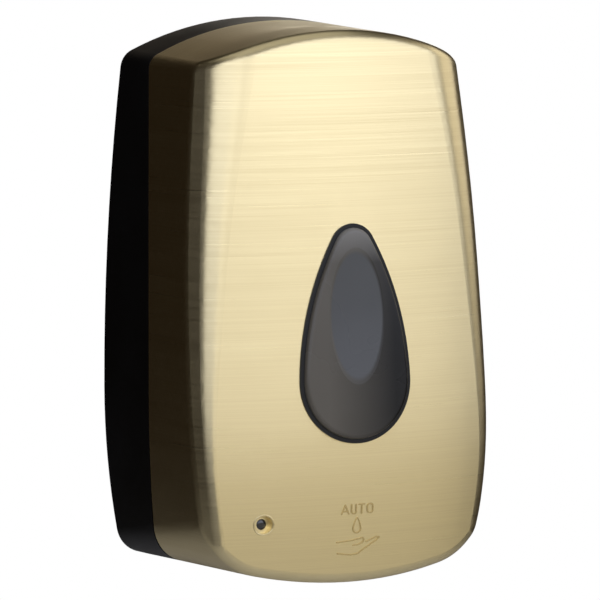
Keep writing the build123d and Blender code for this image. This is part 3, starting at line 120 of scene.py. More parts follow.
def makeStudio():
    for name, (azimuth, distance, width, height, middle, brightness, colour) in studio.items():
        out = directionOf(azimuth, 0)
        addPanel(name, out * distance + Vector((0, 0, middle)), -out, width, height, brightness, colour)
    top = Vector((0, overhead["forward"], overhead["height"]))
    addPanel("overheadPanel", top, Vector((0, 0, -1)), overhead["size"], overhead["size"],
             overhead["brightness"], (1, 1, 1))

    world = bpy.data.worlds.new("studioWorld")
    bpy.context.scene.world = world
    world.use_nodes = True
    tree = world.node_tree
    tree.nodes.clear()
    path = tree.nodes.new("ShaderNodeLightPath")
    glow = tree.nodes.new("ShaderNodeBackground")
    glow.inputs["Color"].default_value = room["glow"]
    glow.inputs["Strength"].default_value = 1.0
    backdrop = tree.nodes.new("ShaderNodeBackground")
    backdrop.inputs["Color"].default_value = (1, 1, 1, 1)
    backdrop.inputs["Strength"].default_value = 1.0
    mix = tree.nodes.new("ShaderNodeMixShader")
    out = tree.nodes.new("ShaderNodeOutputWorld")
    tree.links.new(path.outputs["Is Camera Ray"], mix.inputs["Fac"])
    tree.links.new(glow.outputs[0], mix.inputs[1])
    tree.links.new(backdrop.outputs[0], mix.inputs[2])
    tree.links.new(mix.outputs[0], out.inputs["Surface"])

    bm = bmesh.new()
    bmesh.ops.create_grid(bm, x_segments=1, y_segments=1, size=room["floorSize"] / 2)
    bmesh.ops.translate(bm, verts=bm.verts, vec=(0, 0, room["floorLevel"]))
    floor = newObject("studioFloor", bm)
    floor.data.materials.append(paleFloorFinish())
    bpy.context.scene.view_settings.view_transform = "Standard"


def paleFloorFinish():
    # the floor glows a little for the camera alone, so it stays pale and lights nothing
    material = newMaterial("paleFloor", {"color": (0.86, 0.86, 0.85), "roughness": 0.7})
    tree = material.node_tree
    shader = tree.nodes["Principled BSDF"]
    path = tree.nodes.new("ShaderNodeLightPath")
    shader.inputs["Emission Color"].default_value = (1, 1, 1, 1)
    glow = addNode(tree, "Math", {"operation": "MULTIPLY"}, i0=path.outputs["Is Camera Ray"],
                   i1=room["floorGlow"])
    tree.links.new(glow.outputs[0], shader.inputs["Emission Strength"])
    return material


# ---- mesh helpers

def newObject(name, bm):
    bmesh.ops.remove_doubles(bm, verts=bm.verts, dist=1e-7)
    bmesh.ops.recalc_face_normals(bm, faces=bm.faces)
    mesh = bpy.data.meshes.new(name)
    bm.to_mesh(mesh)
    bm.free()
    made = bpy.data.objects.new(name, mesh)
    bpy.context.scene.collection.objects.link(made)
    return made


def smoothShade(piece, angle=35):
    piece.data.shade_smooth()
    bm = bmesh.new()
    bm.from_mesh(piece.data)
    for edge in bm.edges:
        edge.smooth = edge.calc_face_angle(0.0) < math.radians(angle)
    bm.to_mesh(piece.data)
    bm.free()


def finishPiece(piece, body, material, replaced=()):
    piece.data.materials.append(material)
    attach(piece, body)
    if replaced:
        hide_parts(*replaced)
    return piece


def roundedBlock(bm, low, high, radius, segments=3):
    middle = (Vector(low) + Vector(high)) / 2
    size = Vector(high) - Vector(low)
    placed = Matrix.Translation(middle) @ Matrix.Diagonal((*size, 1))
    made = bmesh.ops.create_cube(bm, size=1, matrix=placed)
    edges = {edge for vert in made["verts"] for edge in vert.link_edges}
    bmesh.ops.bevel(bm, geom=list(edges), offset=radius, offset_type="OFFSET", segments=segments,
                    profile=0.5, affect="EDGES", material=-1, clamp_overlap=True)


def surfaceBelow(nodeName):
    # looks from the front onto a node and gives the depth of its face at a place
    mesh = nodes[nodeName].data
    tree = BVHTree.FromPolygons([v.co for v in mesh.vertices], [p.vertices for p in mesh.polygons])
    start = cadLow.y - 0.05

    def depthAt(x, z):
        hit = tree.ray_cast(Vector((x, start, z)), Vector((0, 1, 0)))
        return hit[0].y if hit[0] else None
    return depthAt


# ---- material helpers

def newMaterial(name, look):
    material = bpy.data.materials.new(name)
    material.use_nodes = True
    shader = material.node_tree.nodes["Principled BSDF"]
    sockets = {
        "color": "Base Color", "roughness": "Roughness", "metallic": "Metallic", "coat": "Coat Weight",
        "coatRoughness": "Coat Roughness", "ior": "IOR", "specular": "Specular IOR Level",
        "transmission": "Transmission Weight", "anisotropic": "Anisotropic", "turn": "Anisotropic Rotation",
    }
    for key, value in look.items():
        if key in sockets:
            value = (*value, 1.0) if key == "color" else value
            shader.inputs[sockets[key]].default_value = value
    return material


def addNode(tree, kind, settings=None, **values):
    node = tree.nodes.new("ShaderNode" + kind)
    for key, value in (settings or {}).items():
        setattr(node, key, value)
    for key, value in values.items():
        target = node.inputs[int(key[1:])] if key[0] == "i" and key[1:].isdigit() else node.inputs[key]
        if isinstance(value, bpy.types.NodeSocket):
            tree.links.new(value, target)
        else:
            target.default_value = value
    return node


def newGroup(name, inputs, outputs):
    group = bpy.data.node_groups.new(name, "ShaderNodeTree")
    for label, kind, value in inputs:
        socket = group.interface.new_socket(name=label, in_out="INPUT", socket_type=kind)
        socket.default_value = value
    for label, kind in outputs:
        group.interface.new_socket(name=label, in_out="OUTPUT", socket_type=kind)
    return group, group.nodes.new("NodeGroupInput"), group.nodes.new("NodeGroupOutput")


def makeBrushGroup():
    # fine lines that run level round the casing, and along x where a face looks up or down
    group, given, out = newGroup("brushLines", [
        ("Fineness", "NodeSocketFloat", 2600.0),
        ("Length", "NodeSocketFloat", 9.0),
    ], [("Lines", "NodeSocketFloat"), ("Patches", "NodeSocketFloat")])
    place = addNode(group, "TexCoord")
    geometry = addNode(group, "NewGeometry")
    facing = addNode(group, "SeparateXYZ", Vector=geometry.outputs["Normal"])
    upright = addNode(group, "Math", {"operation": "ABSOLUTE"}, i0=facing.outputs["Z"])
    level = addNode(group, "MapRange", Value=upright.outputs[0])
    level.inputs["From Min"].default_value = 0.6
    level.inputs["From Max"].default_value = 0.85
    grains = []
    for across in ("Z", "Y"):
        stretch = addNode(group, "CombineXYZ", X=given.outputs["Length"], Y=given.outputs["Length"],
                          Z=given.outputs["Length"])
        group.links.new(given.outputs["Fineness"], stretch.inputs[across])
        stretched = addNode(group, "VectorMath", {"operation": "MULTIPLY"}, i0=place.outputs["Object"],
                            i1=stretch.outputs[0])
        grain = addNode(group, "TexNoise", Vector=stretched.outputs[0], Scale=1.0, Detail=4.0,
                        Roughness=0.65)
        grains.append(grain.outputs["Fac"])
    lines = addNode(group, "Mix", {"data_type": "FLOAT"}, i0=level.outputs[0], i2=grains[0], i3=grains[1])
    patches = addNode(group, "TexNoise", Vector=place.outputs["Object"], Scale=14.0, Detail=2.0)
    group.links.new(lines.outputs[0], out.inputs["Lines"])
    group.links.new(patches.outputs["Fac"], out.inputs["Patches"])
    return group


def makeGrainGroup():
    # the fine spark-eroded skin of a mould, with slow patches and a few specks of dust
    group, given, out = newGroup("mouldGrain", [
        ("Size", "NodeSocketFloat", 0.0006),
    ], [("Height", "NodeSocketFloat"), ("Patches", "NodeSocketFloat"), ("Dust", "NodeSocketFloat")])
    place = addNode(group, "TexCoord")
    fineness = addNode(group, "Math", {"operation": "DIVIDE"}, i0=1.0, i1=given.outputs["Size"])
    pits = addNode(group, "TexVoronoi", {"feature": "SMOOTH_F1"}, Vector=place.outputs["Object"],
                   Scale=fineness.outputs[0], Smoothness=0.6)
    rough = addNode(group, "TexNoise", Vector=place.outputs["Object"], Scale=fineness.outputs[0],
                    Detail=3.0)
    height = addNode(group, "Math", {"operation": "MULTIPLY"}, i0=pits.outputs["Distance"],
                     i1=rough.outputs["Fac"])
    patches = addNode(group, "TexNoise", Vector=place.outputs["Object"], Scale=22.0, Detail=3.0)
    specks = addNode(group, "TexNoise", Vector=place.outputs["Object"], Scale=900.0, Detail=2.0)
    dust = addNode(group, "MapRange", Value=specks.outputs["Fac"])
    dust.inputs["From Min"].default_value = 0.68
    dust.inputs["From Max"].default_value = 0.8
    group.links.new(height.outputs[0], out.inputs["Height"])
    group.links.new(patches.outputs["Fac"], out.inputs["Patches"])
    group.links.new(dust.outputs[0], out.inputs["Dust"])
    return group


def makeBandGroup():
    # a soft-edged band between two heights, for printed and plated stripes
    group, given, out = newGroup("heightBand", [
        ("Low", "NodeSocketFloat", 0.0),
        ("High", "NodeSocketFloat", 0.01),
        ("Soft", "NodeSocketFloat", 0.0002),
    ], [("Mask", "NodeSocketFloat")])
    place = addNode(group, "TexCoord")
    height = addNode(group, "SeparateXYZ", Vector=place.outputs["Object"])
    masks = []
    for edge, sign in (("Low", 1.0), ("High", -1.0)):
        past = addNode(group, "Math", {"operation": "SUBTRACT"}, i0=height.outputs["Z"],
                       i1=given.outputs[edge])
        scaled = addNode(group, "Math", {"operation": "DIVIDE"}, i0=past.outputs[0],
                         i1=given.outputs["Soft"])
        turned = addNode(group, "Math", {"operation": "MULTIPLY_ADD", "use_clamp": True},
                         i0=scaled.outputs[0], i1=sign, i2=0.5)
        masks.append(turned.outputs[0])
    both = addNode(group, "Math", {"operation": "MULTIPLY"}, i0=masks[0], i1=masks[1])
    group.links.new(both.outputs[0], out.inputs["Mask"])
    return group


brushLines = makeBrushGroup()
mouldGrain = makeGrainGroup()
heightBand = makeBandGroup()


def placeGroup(tree, group, values=None):
    node = tree.nodes.new("ShaderNodeGroup")
    node.node_tree = group
    for key, value in (values or {}).items():
        node.inputs[key].default_value = value
    return node


def blendColor(tree, mask, first, second):
    mix = tree.nodes.new("ShaderNodeMix")
    mix.data_type = "RGBA"
    tree.links.new(mask, mix.inputs[0])
    for socket, value in ((mix.inputs[6], first), (mix.inputs[7], second)):
        if isinstance(value, bpy.types.NodeSocket):
            tree.links.new(value, socket)
        else:
            socket.default_value = (*value, 1.0)
    return mix.outputs[2]


def spread(tree, value, low, high, start=0.3, end=0.7):
    node = tree.nodes.new("ShaderNodeMapRange")
    tree.links.new(value, node.inputs["Value"])
    for label, number in (("From Min", start), ("From Max", end), ("To Min", low), ("To Max", high)):
        node.inputs[label].default_value = number
    return node.outputs[0]


def raiseSkin(tree, shader, height, strength, distance):
    bump = tree.nodes.new("ShaderNodeBump")
    bump.inputs["Strength"].default_value = strength
    bump.inputs["Distance"].default_value = distance
    tree.links.new(height, bump.inputs["Height"])
    tree.links.new(bump.outputs[0], shader.inputs["Normal"])


# ---- finishes

brushedGold = {
    "color": (0.83, 0.705, 0.405), "dark": (0.77, 0.64, 0.355), "metallic": 1.0,
    "anisotropic": 0.45, "turn": 0.25, "fineness": 2400.0, "length": 7.0,
    "smoothest": 0.27, "roughest": 0.40, "bump": 0.10, "depth": 0.00003,
}


markingGold = dict(brushedGold, color=(0.66, 0.54, 0.29), dark=(0.58, 0.46, 0.23), anisotropic=0.0,
                   smoothest=0.22, roughest=0.3)


def brushedGoldFinish(name, look):
    material = newMaterial(name, look)
    tree = material.node_tree
    shader = tree.nodes["Principled BSDF"]
    lines = placeGroup(tree, brushLines, {"Fineness": look["fineness"], "Length": look["length"]})
    color = blendColor(tree, spread(tree, lines.outputs["Lines"], 0.0, 1.0), look["dark"], look["color"])
    tree.links.new(color, shader.inputs["Base Color"])
    rough = spread(tree, lines.outputs["Lines"], look["roughest"], look["smoothest"])
    tree.links.new(rough, shader.inputs["Roughness"])
    raiseSkin(tree, shader, lines.outputs["Lines"], look["bump"], look["depth"])
    around = tree.nodes.new("ShaderNodeTangent")
    around.direction_type = "RADIAL"
    around.axis = "Z"
    tree.links.new(around.outputs[0], shader.inputs["Tangent"])
    return material


mouldedFinishes = {
    "black_housing": {"color": (0.0014, 0.0014, 0.0015), "second": (0.0024, 0.0024, 0.0026),
                      "roughness": 0.42, "specular": 0.34, "size": 0.0007, "bump": 0.25, "depth": 0.00008,
                      "dusty": 0.01},
    "grey_plastic": {"color": (0.235, 0.245, 0.255), "second": (0.265, 0.272, 0.28), "roughness": 0.42,
                     "size": 0.0008, "bump": 0.2, "depth": 0.00008, "dusty": 0.05},
    "acetal": {"color": (0.80, 0.79, 0.74), "second": (0.86, 0.85, 0.81), "roughness": 0.34, "size": 0.0012,
               "bump": 0.06, "depth": 0.00005, "dusty": 0.0},
    "blue_cap": {"color": (0.045, 0.14, 0.36), "second": (0.055, 0.165, 0.40), "roughness": 0.3,
                 "size": 0.0009, "bump": 0.12, "depth": 0.00006, "coat": 0.15, "dusty": 0.04},
    "rubber": {"color": (0.018, 0.018, 0.019), "second": (0.03, 0.03, 0.03), "roughness": 0.62,
               "size": 0.0005, "bump": 0.2, "depth": 0.00006, "dusty": 0.08},
    "indicator_glass": {"color": (0.006, 0.006, 0.008), "second": (0.010, 0.008, 0.014), "roughness": 0.12,
                        "coat": 0.8, "size": 0.003, "bump": 0.02, "depth": 0.00002, "dusty": 0.02},
    "component_black": {"color": (0.02, 0.02, 0.022), "second": (0.03, 0.03, 0.032), "roughness": 0.4,
                        "size": 0.0004, "bump": 0.15, "depth": 0.00004, "dusty": 0.04},
}


def mouldedFinish(name, look):
    material = newMaterial(name, look)
    tree = material.node_tree
    shader = tree.nodes["Principled BSDF"]
    grain = placeGroup(tree, mouldGrain, {"Size": look["size"]})
    base = blendColor(tree, spread(tree, grain.outputs["Patches"], 0.0, 1.0), look["color"], look["second"])
    dusted = tuple(min(1.0, part + look["dusty"]) for part in look["second"])
    color = blendColor(tree, grain.outputs["Dust"], base, dusted)
    tree.links.new(color, shader.inputs["Base Color"])
    rough = spread(tree, grain.outputs["Patches"], look["roughness"] - 0.05, look["roughness"] + 0.06)
    tree.links.new(rough, shader.inputs["Roughness"])
    raiseSkin(tree, shader, grain.outputs["Height"], look["bump"], look["depth"])
    return material


metals = {
    "steel": {"color": (0.60, 0.60, 0.61), "dark": (0.47, 0.47, 0.49), "metallic": 1.0, "fineness": 1800.0,
              "length": 60.0, "smoothest": 0.2, "roughest": 0.36, "bump": 0.05, "depth": 0.00002},
    "brass_gear": {"color": (0.75, 0.56, 0.24), "dark": (0.58, 0.41, 0.16), "metallic": 1.0,
                   "fineness": 2600.0, "length": 90.0, "smoothest": 0.2, "roughest": 0.38, "bump": 0.06,
                   "depth": 0.00002},
}


def turnedMetal(name, look):
    material = newMaterial(name, look)
    tree = material.node_tree
    shader = tree.nodes["Principled BSDF"]
    lines = placeGroup(tree, brushLines, {"Fineness": look["fineness"], "Length": look["length"]})
    stain = spread(tree, lines.outputs["Patches"], 0.0, 1.0, 0.35, 0.65)
    tree.links.new(blendColor(tree, stain, look["color"], look["dark"]), shader.inputs["Base Color"])
    rough = spread(tree, lines.outputs["Lines"], look["smoothest"], look["roughest"])
    tree.links.new(rough, shader.inputs["Roughness"])
    raiseSkin(tree, shader, lines.outputs["Lines"], look["bump"], look["depth"])
    return material


# the clear and top colours are painted light, the paler lens tone where light would come through at the
# left and the top; color is the darker end, painted shade towards the right; dish is one even tone for the
# dish
smokedLens = {
    "color": (0.010, 0.010, 0.0105), "clear": (0.112, 0.101, 0.082), "top": (0.21, 0.20, 0.18),
    "dish": (0.088, 0.090, 0.091), "roughness": 0.26, "coat": 0.08, "coatRoughness": 0.1, "specular": 0.22,
    "dishMiddle": -3 * mm, "dishHalf": (14.2 * mm, 31.2 * mm), "dishEdge": 0.07,
    "clearFrom": 20 * mm, "clearTo": -16 * mm, "topFrom": 22 * mm, "topTo": 39 * mm,
}


def smokedLensFinish(name, look):
    # painted light: the base colour pales towards the left and the top, where light would come through the
    # smoked lens, and is darker towards the right as painted shade
    material = newMaterial(name, look)
    tree = material.node_tree
    shader = tree.nodes["Principled BSDF"]
    grain = placeGroup(tree, mouldGrain, {"Size": 0.004})
    place = tree.nodes.new("ShaderNodeTexCoord")
    spot = addNode(tree, "SeparateXYZ", Vector=place.outputs["Object"])
    # painted light: masks that pale the lens towards the left and towards the top
    across = spread(tree, spot.outputs["X"], 0.0, 1.0, look["clearFrom"], look["clearTo"])
    paintedTopLightMask = spread(tree, spot.outputs["Z"], 0.0, 1.0, look["topFrom"], look["topTo"])
    pale = blendColor(tree, across, look["color"], look["clear"])
    pale = blendColor(tree, paintedTopLightMask, pale, look["top"])
    halfWide, halfTall = look["dishHalf"]
    middled = addNode(tree, "VectorMath", {"operation": "SUBTRACT"}, i0=place.outputs["Object"],
                      i1=(0, 0, look["dishMiddle"]))
    shrunk = addNode(tree, "VectorMath", {"operation": "MULTIPLY"}, i0=middled.outputs[0],
                     i1=(1 / halfWide, 0, 1 / halfTall))
    reach = addNode(tree, "VectorMath", {"operation": "LENGTH"}, i0=shrunk.outputs[0])
    inDish = spread(tree, reach.outputs["Value"], 1.0, 0.0, 1.0 - look["dishEdge"], 1.0)
    toned = blendColor(tree, inDish, pale, look["dish"])
    cloud = spread(tree, grain.outputs["Patches"], 0.94, 1.05)
    shaded = addNode(tree, "VectorMath", {"operation": "SCALE"}, i0=toned, Scale=cloud)
    tree.links.new(shaded.outputs[0], shader.inputs["Base Color"])
    rough = spread(tree, grain.outputs["Patches"], look["roughness"], look["roughness"] + 0.05)
    tree.links.new(rough, shader.inputs["Roughness"])
    return material


softPlastics = {
    "tank_plastic": {"color": (0.78, 0.81, 0.80), "second": (0.84, 0.86, 0.85), "roughness": 0.3,
                     "transmission": 0.35, "ior": 1.49, "size": 0.0016, "bump": 0.08, "depth": 0.00006},
    "silicone": {"color": (0.80, 0.77, 0.70), "second": (0.86, 0.83, 0.77), "roughness": 0.34,
                 "transmission": 0.25, "ior": 1.41, "size": 0.0012, "bump": 0.06, "depth": 0.00005},
    "clear_plastic": {"color": (0.93, 0.95, 0.96), "second": (0.96, 0.97, 0.98), "roughness": 0.05,
                      "transmission": 0.95, "ior": 1.58, "size": 0.006, "bump": 0.02, "depth": 0.00003},
    "infrared_lens": {"color": (0.05, 0.006, 0.012), "second": (0.07, 0.01, 0.02), "roughness": 0.1,
                      "transmission": 0.3, "ior": 1.5, "size": 0.003, "bump": 0.02, "depth": 0.00003},
}


def softPlastic(name, look):
    material = newMaterial(name, look)
    tree = material.node_tree
    shader = tree.nodes["Principled BSDF"]
    grain = placeGroup(tree, mouldGrain, {"Size": look["size"]})
    patchy = spread(tree, grain.outputs["Patches"], 0.0, 1.0)
    color = blendColor(tree, patchy, look["color"], look["second"])
    tree.links.new(color, shader.inputs["Base Color"])
    rough = spread(tree, grain.outputs["Patches"], look["roughness"], look["roughness"] + 0.08)
    tree.links.new(rough, shader.inputs["Roughness"])
    raiseSkin(tree, shader, grain.outputs["Height"], look["bump"], look["depth"])
    return material


cellLook = {"color": (0.012, 0.012, 0.014), "stripe": (0.66, 0.36, 0.10), "cap": (0.62, 0.62, 0.63),
            "roughness": 0.28, "coat": 0.4, "stripeShare": 0.24, "capLength": 1.7 * mm,
            "footLength": 0.5 * mm}


def cellFinish(name, look):
    low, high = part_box("batteries")
    material = newMaterial(name, look)
    tree = material.node_tree
    shader = tree.nodes["Principled BSDF"]
    length = high.z - low.z
    stripe = placeGroup(tree, heightBand, {"Low": high.z - look["stripeShare"] * length, "High": high.z})
    jacket = placeGroup(tree, heightBand, {"Low": low.z + look["footLength"],
                                           "High": high.z - look["capLength"]})
    printed = blendColor(tree, stripe.outputs["Mask"], look["color"], look["stripe"])
    color = blendColor(tree, jacket.outputs["Mask"], look["cap"], printed)
    tree.links.new(color, shader.inputs["Base Color"])
    bare = tree.nodes.new("ShaderNodeMath")
    bare.operation = "SUBTRACT"
    bare.inputs[0].default_value = 1.0
    tree.links.new(jacket.outputs["Mask"], bare.inputs[1])
    tree.links.new(bare.outputs[0], shader.inputs["Metallic"])
    return material


boardLook = {"color": (0.012, 0.16, 0.07), "trace": (0.03, 0.30, 0.13), "roughness": 0.22, "coat": 0.3,
             "pitch": 1.6 * mm, "length": 11.2 * mm, "gap": 0.224 * mm, "shift": 0.37, "bump": 0.3,
             "depth": 0.04 * mm}


def boardFinish(name, look):
    # solder mask with copper tracks showing as paler lines under it
    material = newMaterial(name, look)
    tree = material.node_tree
    shader = tree.nodes["Principled BSDF"]
    place = tree.nodes.new("ShaderNodeTexCoord")
    turned = addNode(tree, "Mapping", {"vector_type": "POINT"}, Vector=place.outputs["Object"])
    turned.inputs["Rotation"].default_value = (math.radians(90), 0, 0)
    tracks = addNode(tree, "TexBrick", {"offset": look["shift"], "squash": 1.0}, Vector=turned.outputs[0],
                     Scale=1.0)
    tracks.inputs["Brick Width"].default_value = look["length"]
    tracks.inputs["Row Height"].default_value = look["pitch"]
    tracks.inputs["Mortar Size"].default_value = look["gap"]
    color = blendColor(tree, tracks.outputs["Fac"], look["color"], look["trace"])
    tree.links.new(color, shader.inputs["Base Color"])
    raiseSkin(tree, shader, tracks.outputs["Fac"], look["bump"], look["depth"])
    return material


def makeFinishes():
    finishes = {"brushed_gold": brushedGoldFinish("brushedGold", brushedGold),
                "marking_gold": brushedGoldFinish("markingGold", markingGold)}
    for slotName, look in mouldedFinishes.items():
        finishes[slotName] = mouldedFinish(slotName, look)
    for slotName, look in metals.items():
        finishes[slotName] = turnedMetal(slotName, look)
    for slotName, look in softPlastics.items():
        finishes[slotName] = softPlastic(slotName, look)
    finishes["smoked_lens"] = smokedLensFinish("smokedLens", smokedLens)
    finishes["cell_jacket"] = cellFinish("cellJacket", cellLook)
    finishes["circuit_green"] = boardFinish("circuitBoard", boardLook)
    return finishes


ownFinish = {"indicator_lens": "indicator_glass", "face_marking": "marking_gold"}


def dressNodes(finishes):
    for part in frame["record"]["subparts"]:
        piece = nodes[part["node"]]
        material = finishes[ownFinish.get(part["node"], part["material_slot"])]
        if not piece.data.materials:
            piece.data.materials.append(material)
        for slot in piece.material_slots:
            slot.material = material


# ---- indicator: a rolled lip round the cup and a domed lens in it

indicatorLip = {"wire": 0.42 * mm, "sections": 96, "around": 12, "outside": 0.1 * mm, "probe": 0.5 * mm,
                "sunk": 0.12 * mm}


def makeIndicatorLip(material):
    low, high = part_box("indicator_bezel")
    centre = Vector(((low.x + high.x) / 2, 0, (low.z + high.z) / 2))
    radius = (high.x - low.x) / 2 + indicatorLip["outside"]
    depthAt = surfaceBelow("front_cover")
    bm = bmesh.new()
    wire = bmesh.ops.create_circle(bm, cap_ends=False, radius=indicatorLip["wire"],
                                   segments=indicatorLip["around"],
                                   matrix=Matrix.Translation(centre + Vector((radius, 0, 0))))
    ring = [edge for edge in bm.edges if edge.verts[0] in wire["verts"]]
    bmesh.ops.spin(bm, geom=ring, cent=centre, axis=(0, 1, 0), angle=2 * math.pi,
                   steps=indicatorLip["sections"], use_merge=True)
    for vert in bm.verts:
        out = Vector((vert.co.x - centre.x, 0, vert.co.z - centre.z)).normalized()
        spot = centre + out * (radius + indicatorLip["probe"])
        vert.co.y += depthAt(spot.x, spot.z) + indicatorLip["sunk"]
    lip = newObject("indicator_lip", bm)
    smoothShade(lip)
    return finishPiece(lip, "cover", material)


indicatorDome = {"rise": 0.9 * mm, "segments": 48, "rings": 24, "setBack": 0.5 * mm, "inside": 0.05 * mm}


def makeIndicatorDome(material):
    low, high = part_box("indicator_lens")
    centre = Vector(((low.x + high.x) / 2, low.y + indicatorDome["setBack"], (low.z + high.z) / 2))
    radius = (high.x - low.x) / 2 - indicatorDome["inside"]
    placed = Matrix.Translation(centre) @ Matrix.Diagonal((radius, indicatorDome["rise"], radius, 1))
    bm = bmesh.new()
    bmesh.ops.create_uvsphere(bm, u_segments=indicatorDome["segments"], v_segments=indicatorDome["rings"],
                              radius=1.0, matrix=placed)
    bmesh.ops.bisect_plane(bm, geom=bm.verts[:] + bm.edges[:] + bm.faces[:], plane_co=centre,
                           plane_no=(0, 1, 0), clear_outer=True)
    bmesh.ops.holes_fill(bm, edges=[edge for edge in bm.edges if edge.is_boundary])
    dome = newObject("indicator_dome", bm)
    smoothShade(dome)
    return finishPiece(dome, "cover", material)


# ---- tank: moulded level marks on its front wall

levelMarks = {"count": 9, "long": 14 * mm, "short": 8 * mm, "height": 1.1 * mm, "proud": 0.5 * mm,
              "root": 0.6 * mm, "round": 0.35 * mm, "fromSide": 24 * mm, "fromTop": 22 * mm,
              "belowFlange": 2 * mm}


def makeLevelMarks(material):
    low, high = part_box("tank")
    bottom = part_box("tank_shelf")[1].z - levelMarks["belowFlange"]
    usable = high.z - levelMarks["fromTop"] - bottom
    bm = bmesh.new()
    for index in range(levelMarks["count"]):
        z = bottom + usable * index / (levelMarks["count"] - 1)
        width = levelMarks["long"] if index % 2 == 0 else levelMarks["short"]
        left = high.x - levelMarks["fromSide"] - width
        front, back = low.y - levelMarks["proud"], low.y + levelMarks["root"]
        roundedBlock(bm, (left, front, z), (left + width, back, z + levelMarks["height"]),
                     levelMarks["round"])
    marks = newObject("tank_level_marks", bm)
    smoothShade(marks)
    return finishPiece(marks, "tank", material)


# ---- board: solder joints and small parts

solderJoints = {"columns": (0.16, 0.84), "pins": 6, "pitch": 2.0 * mm, "radius": 0.75 * mm,
                "flatness": 0.9, "fromBottom": 7 * mm}


def makeSolder(material):
    boardLow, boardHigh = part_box("control_board")
    bm = bmesh.new()
    for column in solderJoints["columns"]:
        x = boardLow.x + column * (boardHigh.x - boardLow.x)
        for pin in range(solderJoints["pins"]):
            z = boardLow.z + solderJoints["fromBottom"] + pin * solderJoints["pitch"]
            flat = Matrix.Diagonal((1, solderJoints["flatness"], 1, 1))
            placed = Matrix.Translation((x, boardLow.y, z)) @ flat
            bmesh.ops.create_icosphere(bm, subdivisions=2, radius=solderJoints["radius"], matrix=placed)
    solder = newObject("board_solder", bm)
    smoothShade(solder)
    return finishPiece(solder, "housing", material)


chipResistors = {"count": 5, "pitch": 3.0 * mm, "first": -6 * mm, "fromTop": 4.5 * mm,
                 "half": Vector((0.7 * mm, 0, 1.2 * mm)), "thick": Vector((0, 0.7 * mm, 0)),
                 "round": 0.15 * mm}


def makeResistors(material):
    boardLow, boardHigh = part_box("control_board")
    middle = (boardLow.x + boardHigh.x) / 2
    bm = bmesh.new()
    for index in range(chipResistors["count"]):
        x = middle + chipResistors["first"] + index * chipResistors["pitch"]
        spot = Vector((x, boardLow.y, boardHigh.z - chipResistors["fromTop"]))
        near = spot - chipResistors["half"] - chipResistors["thick"]
        roundedBlock(bm, near, spot + chipResistors["half"], chipResistors["round"], 2)
    resistors = newObject("board_resistors", bm)
    smoothShade(resistors)
    return finishPiece(resistors, "housing", material)


# ---- electronics cover: raised signs beside the switches, a bar for on and a ring for off

signs = {"besideSwitch": 4.4 * mm, "proud": 0.35 * mm, "root": 0.2 * mm, "round": 0.12 * mm,
         "barHalf": 0.25 * mm, "barTall": 0.85 * mm, "barBelowTop": 0.5 * mm, "ring": 0.75 * mm,
         "ringWire": 0.25 * mm, "ringSunk": 0.1 * mm, "ringAboveBottom": 1.6 * mm,
         "steps": 3, "firstStep": 1.0 * mm, "stepGrowth": 0.8 * mm, "stepHalf": 0.3 * mm}


def makeSwitchSigns(material):
    switchLow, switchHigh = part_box("power_switch")
    doseLow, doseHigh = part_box("dose_selector")
    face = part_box("electronics_cover")[0].y
    front, back = face - signs["proud"], face + signs["root"]
    x = switchLow.x - signs["besideSwitch"]
    bm = bmesh.new()

    z = switchHigh.z - signs["barBelowTop"]
    roundedBlock(bm, (x - signs["barHalf"], front, z - signs["barTall"]),
                 (x + signs["barHalf"], back, z + signs["barTall"]), signs["round"], 2)

    centre = Vector((x, face - signs["ringSunk"], switchLow.z + signs["ringAboveBottom"]))
    placed = Matrix.Translation(centre + Vector((signs["ring"], 0, 0)))
    wire = bmesh.ops.create_circle(bm, cap_ends=False, radius=signs["ringWire"], segments=8, matrix=placed)
    ring = list({edge for vert in wire["verts"] for edge in vert.link_edges})
    bmesh.ops.spin(bm, geom=ring, cent=centre, axis=(0, 1, 0), angle=2 * math.pi, steps=32, use_merge=True)

    for step in range(signs["steps"]):
        width = signs["firstStep"] + signs["stepGrowth"] * step
        z = doseLow.z + (doseHigh.z - doseLow.z) * step / (signs["steps"] - 1)
        roundedBlock(bm, (x - width, front, z - signs["stepHalf"]),
                     (x, back, z + signs["stepHalf"]), signs["round"], 2)
    made = newObject("switch_signs", bm)
    smoothShade(made)
    return finishPiece(made, "housing", material)


# ---- cap: a raised arrow that shows which way it turns

capArrow = {"radius": 17.5 * mm, "proud": 0.5 * mm, "width": 1.4 * mm, "thick": 0.98 * mm, "turn": 70,
            "from": 55, "head": 3.2 * mm / 1.5, "headLead": 0.06, "topAboveSeal": 1.6 * mm}


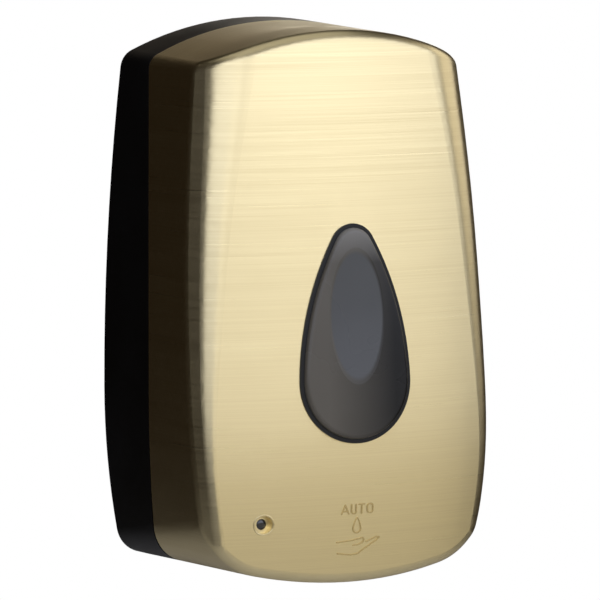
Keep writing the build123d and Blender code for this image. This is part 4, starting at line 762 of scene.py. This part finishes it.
def makeCapArrow(material):
    low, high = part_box("tank_cap")
    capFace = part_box("cap_seal")[1].z + capArrow["topAboveSeal"]
    centre = Vector(((low.x + high.x) / 2, (low.y + high.y) / 2, capFace))
    bm = bmesh.new()
    for side in (0, 180):
        start = math.radians(side + capArrow["from"])
        spot = centre + Vector((math.cos(start), math.sin(start), 0)) * capArrow["radius"]
        size = (capArrow["width"], capArrow["thick"], 2 * capArrow["proud"], 1)
        placed = Matrix.Translation(spot) @ Matrix.Rotation(start, 4, "Z") @ Matrix.Diagonal(size)
        block = bmesh.ops.create_cube(bm, size=1, matrix=placed)
        along = Vector((-math.sin(start), math.cos(start), 0))
        ahead = 0.3 * mm
        sides = {face for vert in block["verts"] for face in vert.link_faces}
        end = [face for face in sides if (face.calc_center_median() - spot).dot(along) > ahead]
        bmesh.ops.spin(bm, geom=end, cent=centre, axis=(0, 0, 1), angle=math.radians(capArrow["turn"]),
                       steps=14)
        tip = start + math.radians(capArrow["turn"]) + capArrow["headLead"]
        headSpot = centre + Vector((math.cos(tip), math.sin(tip), 0)) * capArrow["radius"]
        headPlace = Matrix.Translation(headSpot) @ Matrix.Rotation(tip, 4, "Z")
        head = bmesh.ops.create_circle(bm, cap_ends=True, radius=capArrow["head"], segments=3,
                                       matrix=headPlace)
        faces = list({face for vert in head["verts"] for face in vert.link_faces})
        raised = bmesh.ops.extrude_face_region(bm, geom=faces)
        verts = [item for item in raised["geom"] if isinstance(item, bmesh.types.BMVert)]
        bmesh.ops.translate(bm, verts=verts, vec=(0, 0, capArrow["proud"]))
    arrow = newObject("cap_arrows", bm)
    smoothShade(arrow)
    return finishPiece(arrow, "cap", material)


# ---- build

print("studio")
makeCamera()
makeStudio()
print("finishes")
finishes = makeFinishes()
dressNodes(finishes)
print("pieces")
makeIndicatorLip(finishes["brushed_gold"])
makeIndicatorDome(finishes["indicator_glass"])
makeLevelMarks(finishes["tank_plastic"])
makeSolder(finishes["steel"])
makeResistors(finishes["component_black"])
makeSwitchSigns(finishes["grey_plastic"])
makeCapArrow(finishes["blue_cap"])
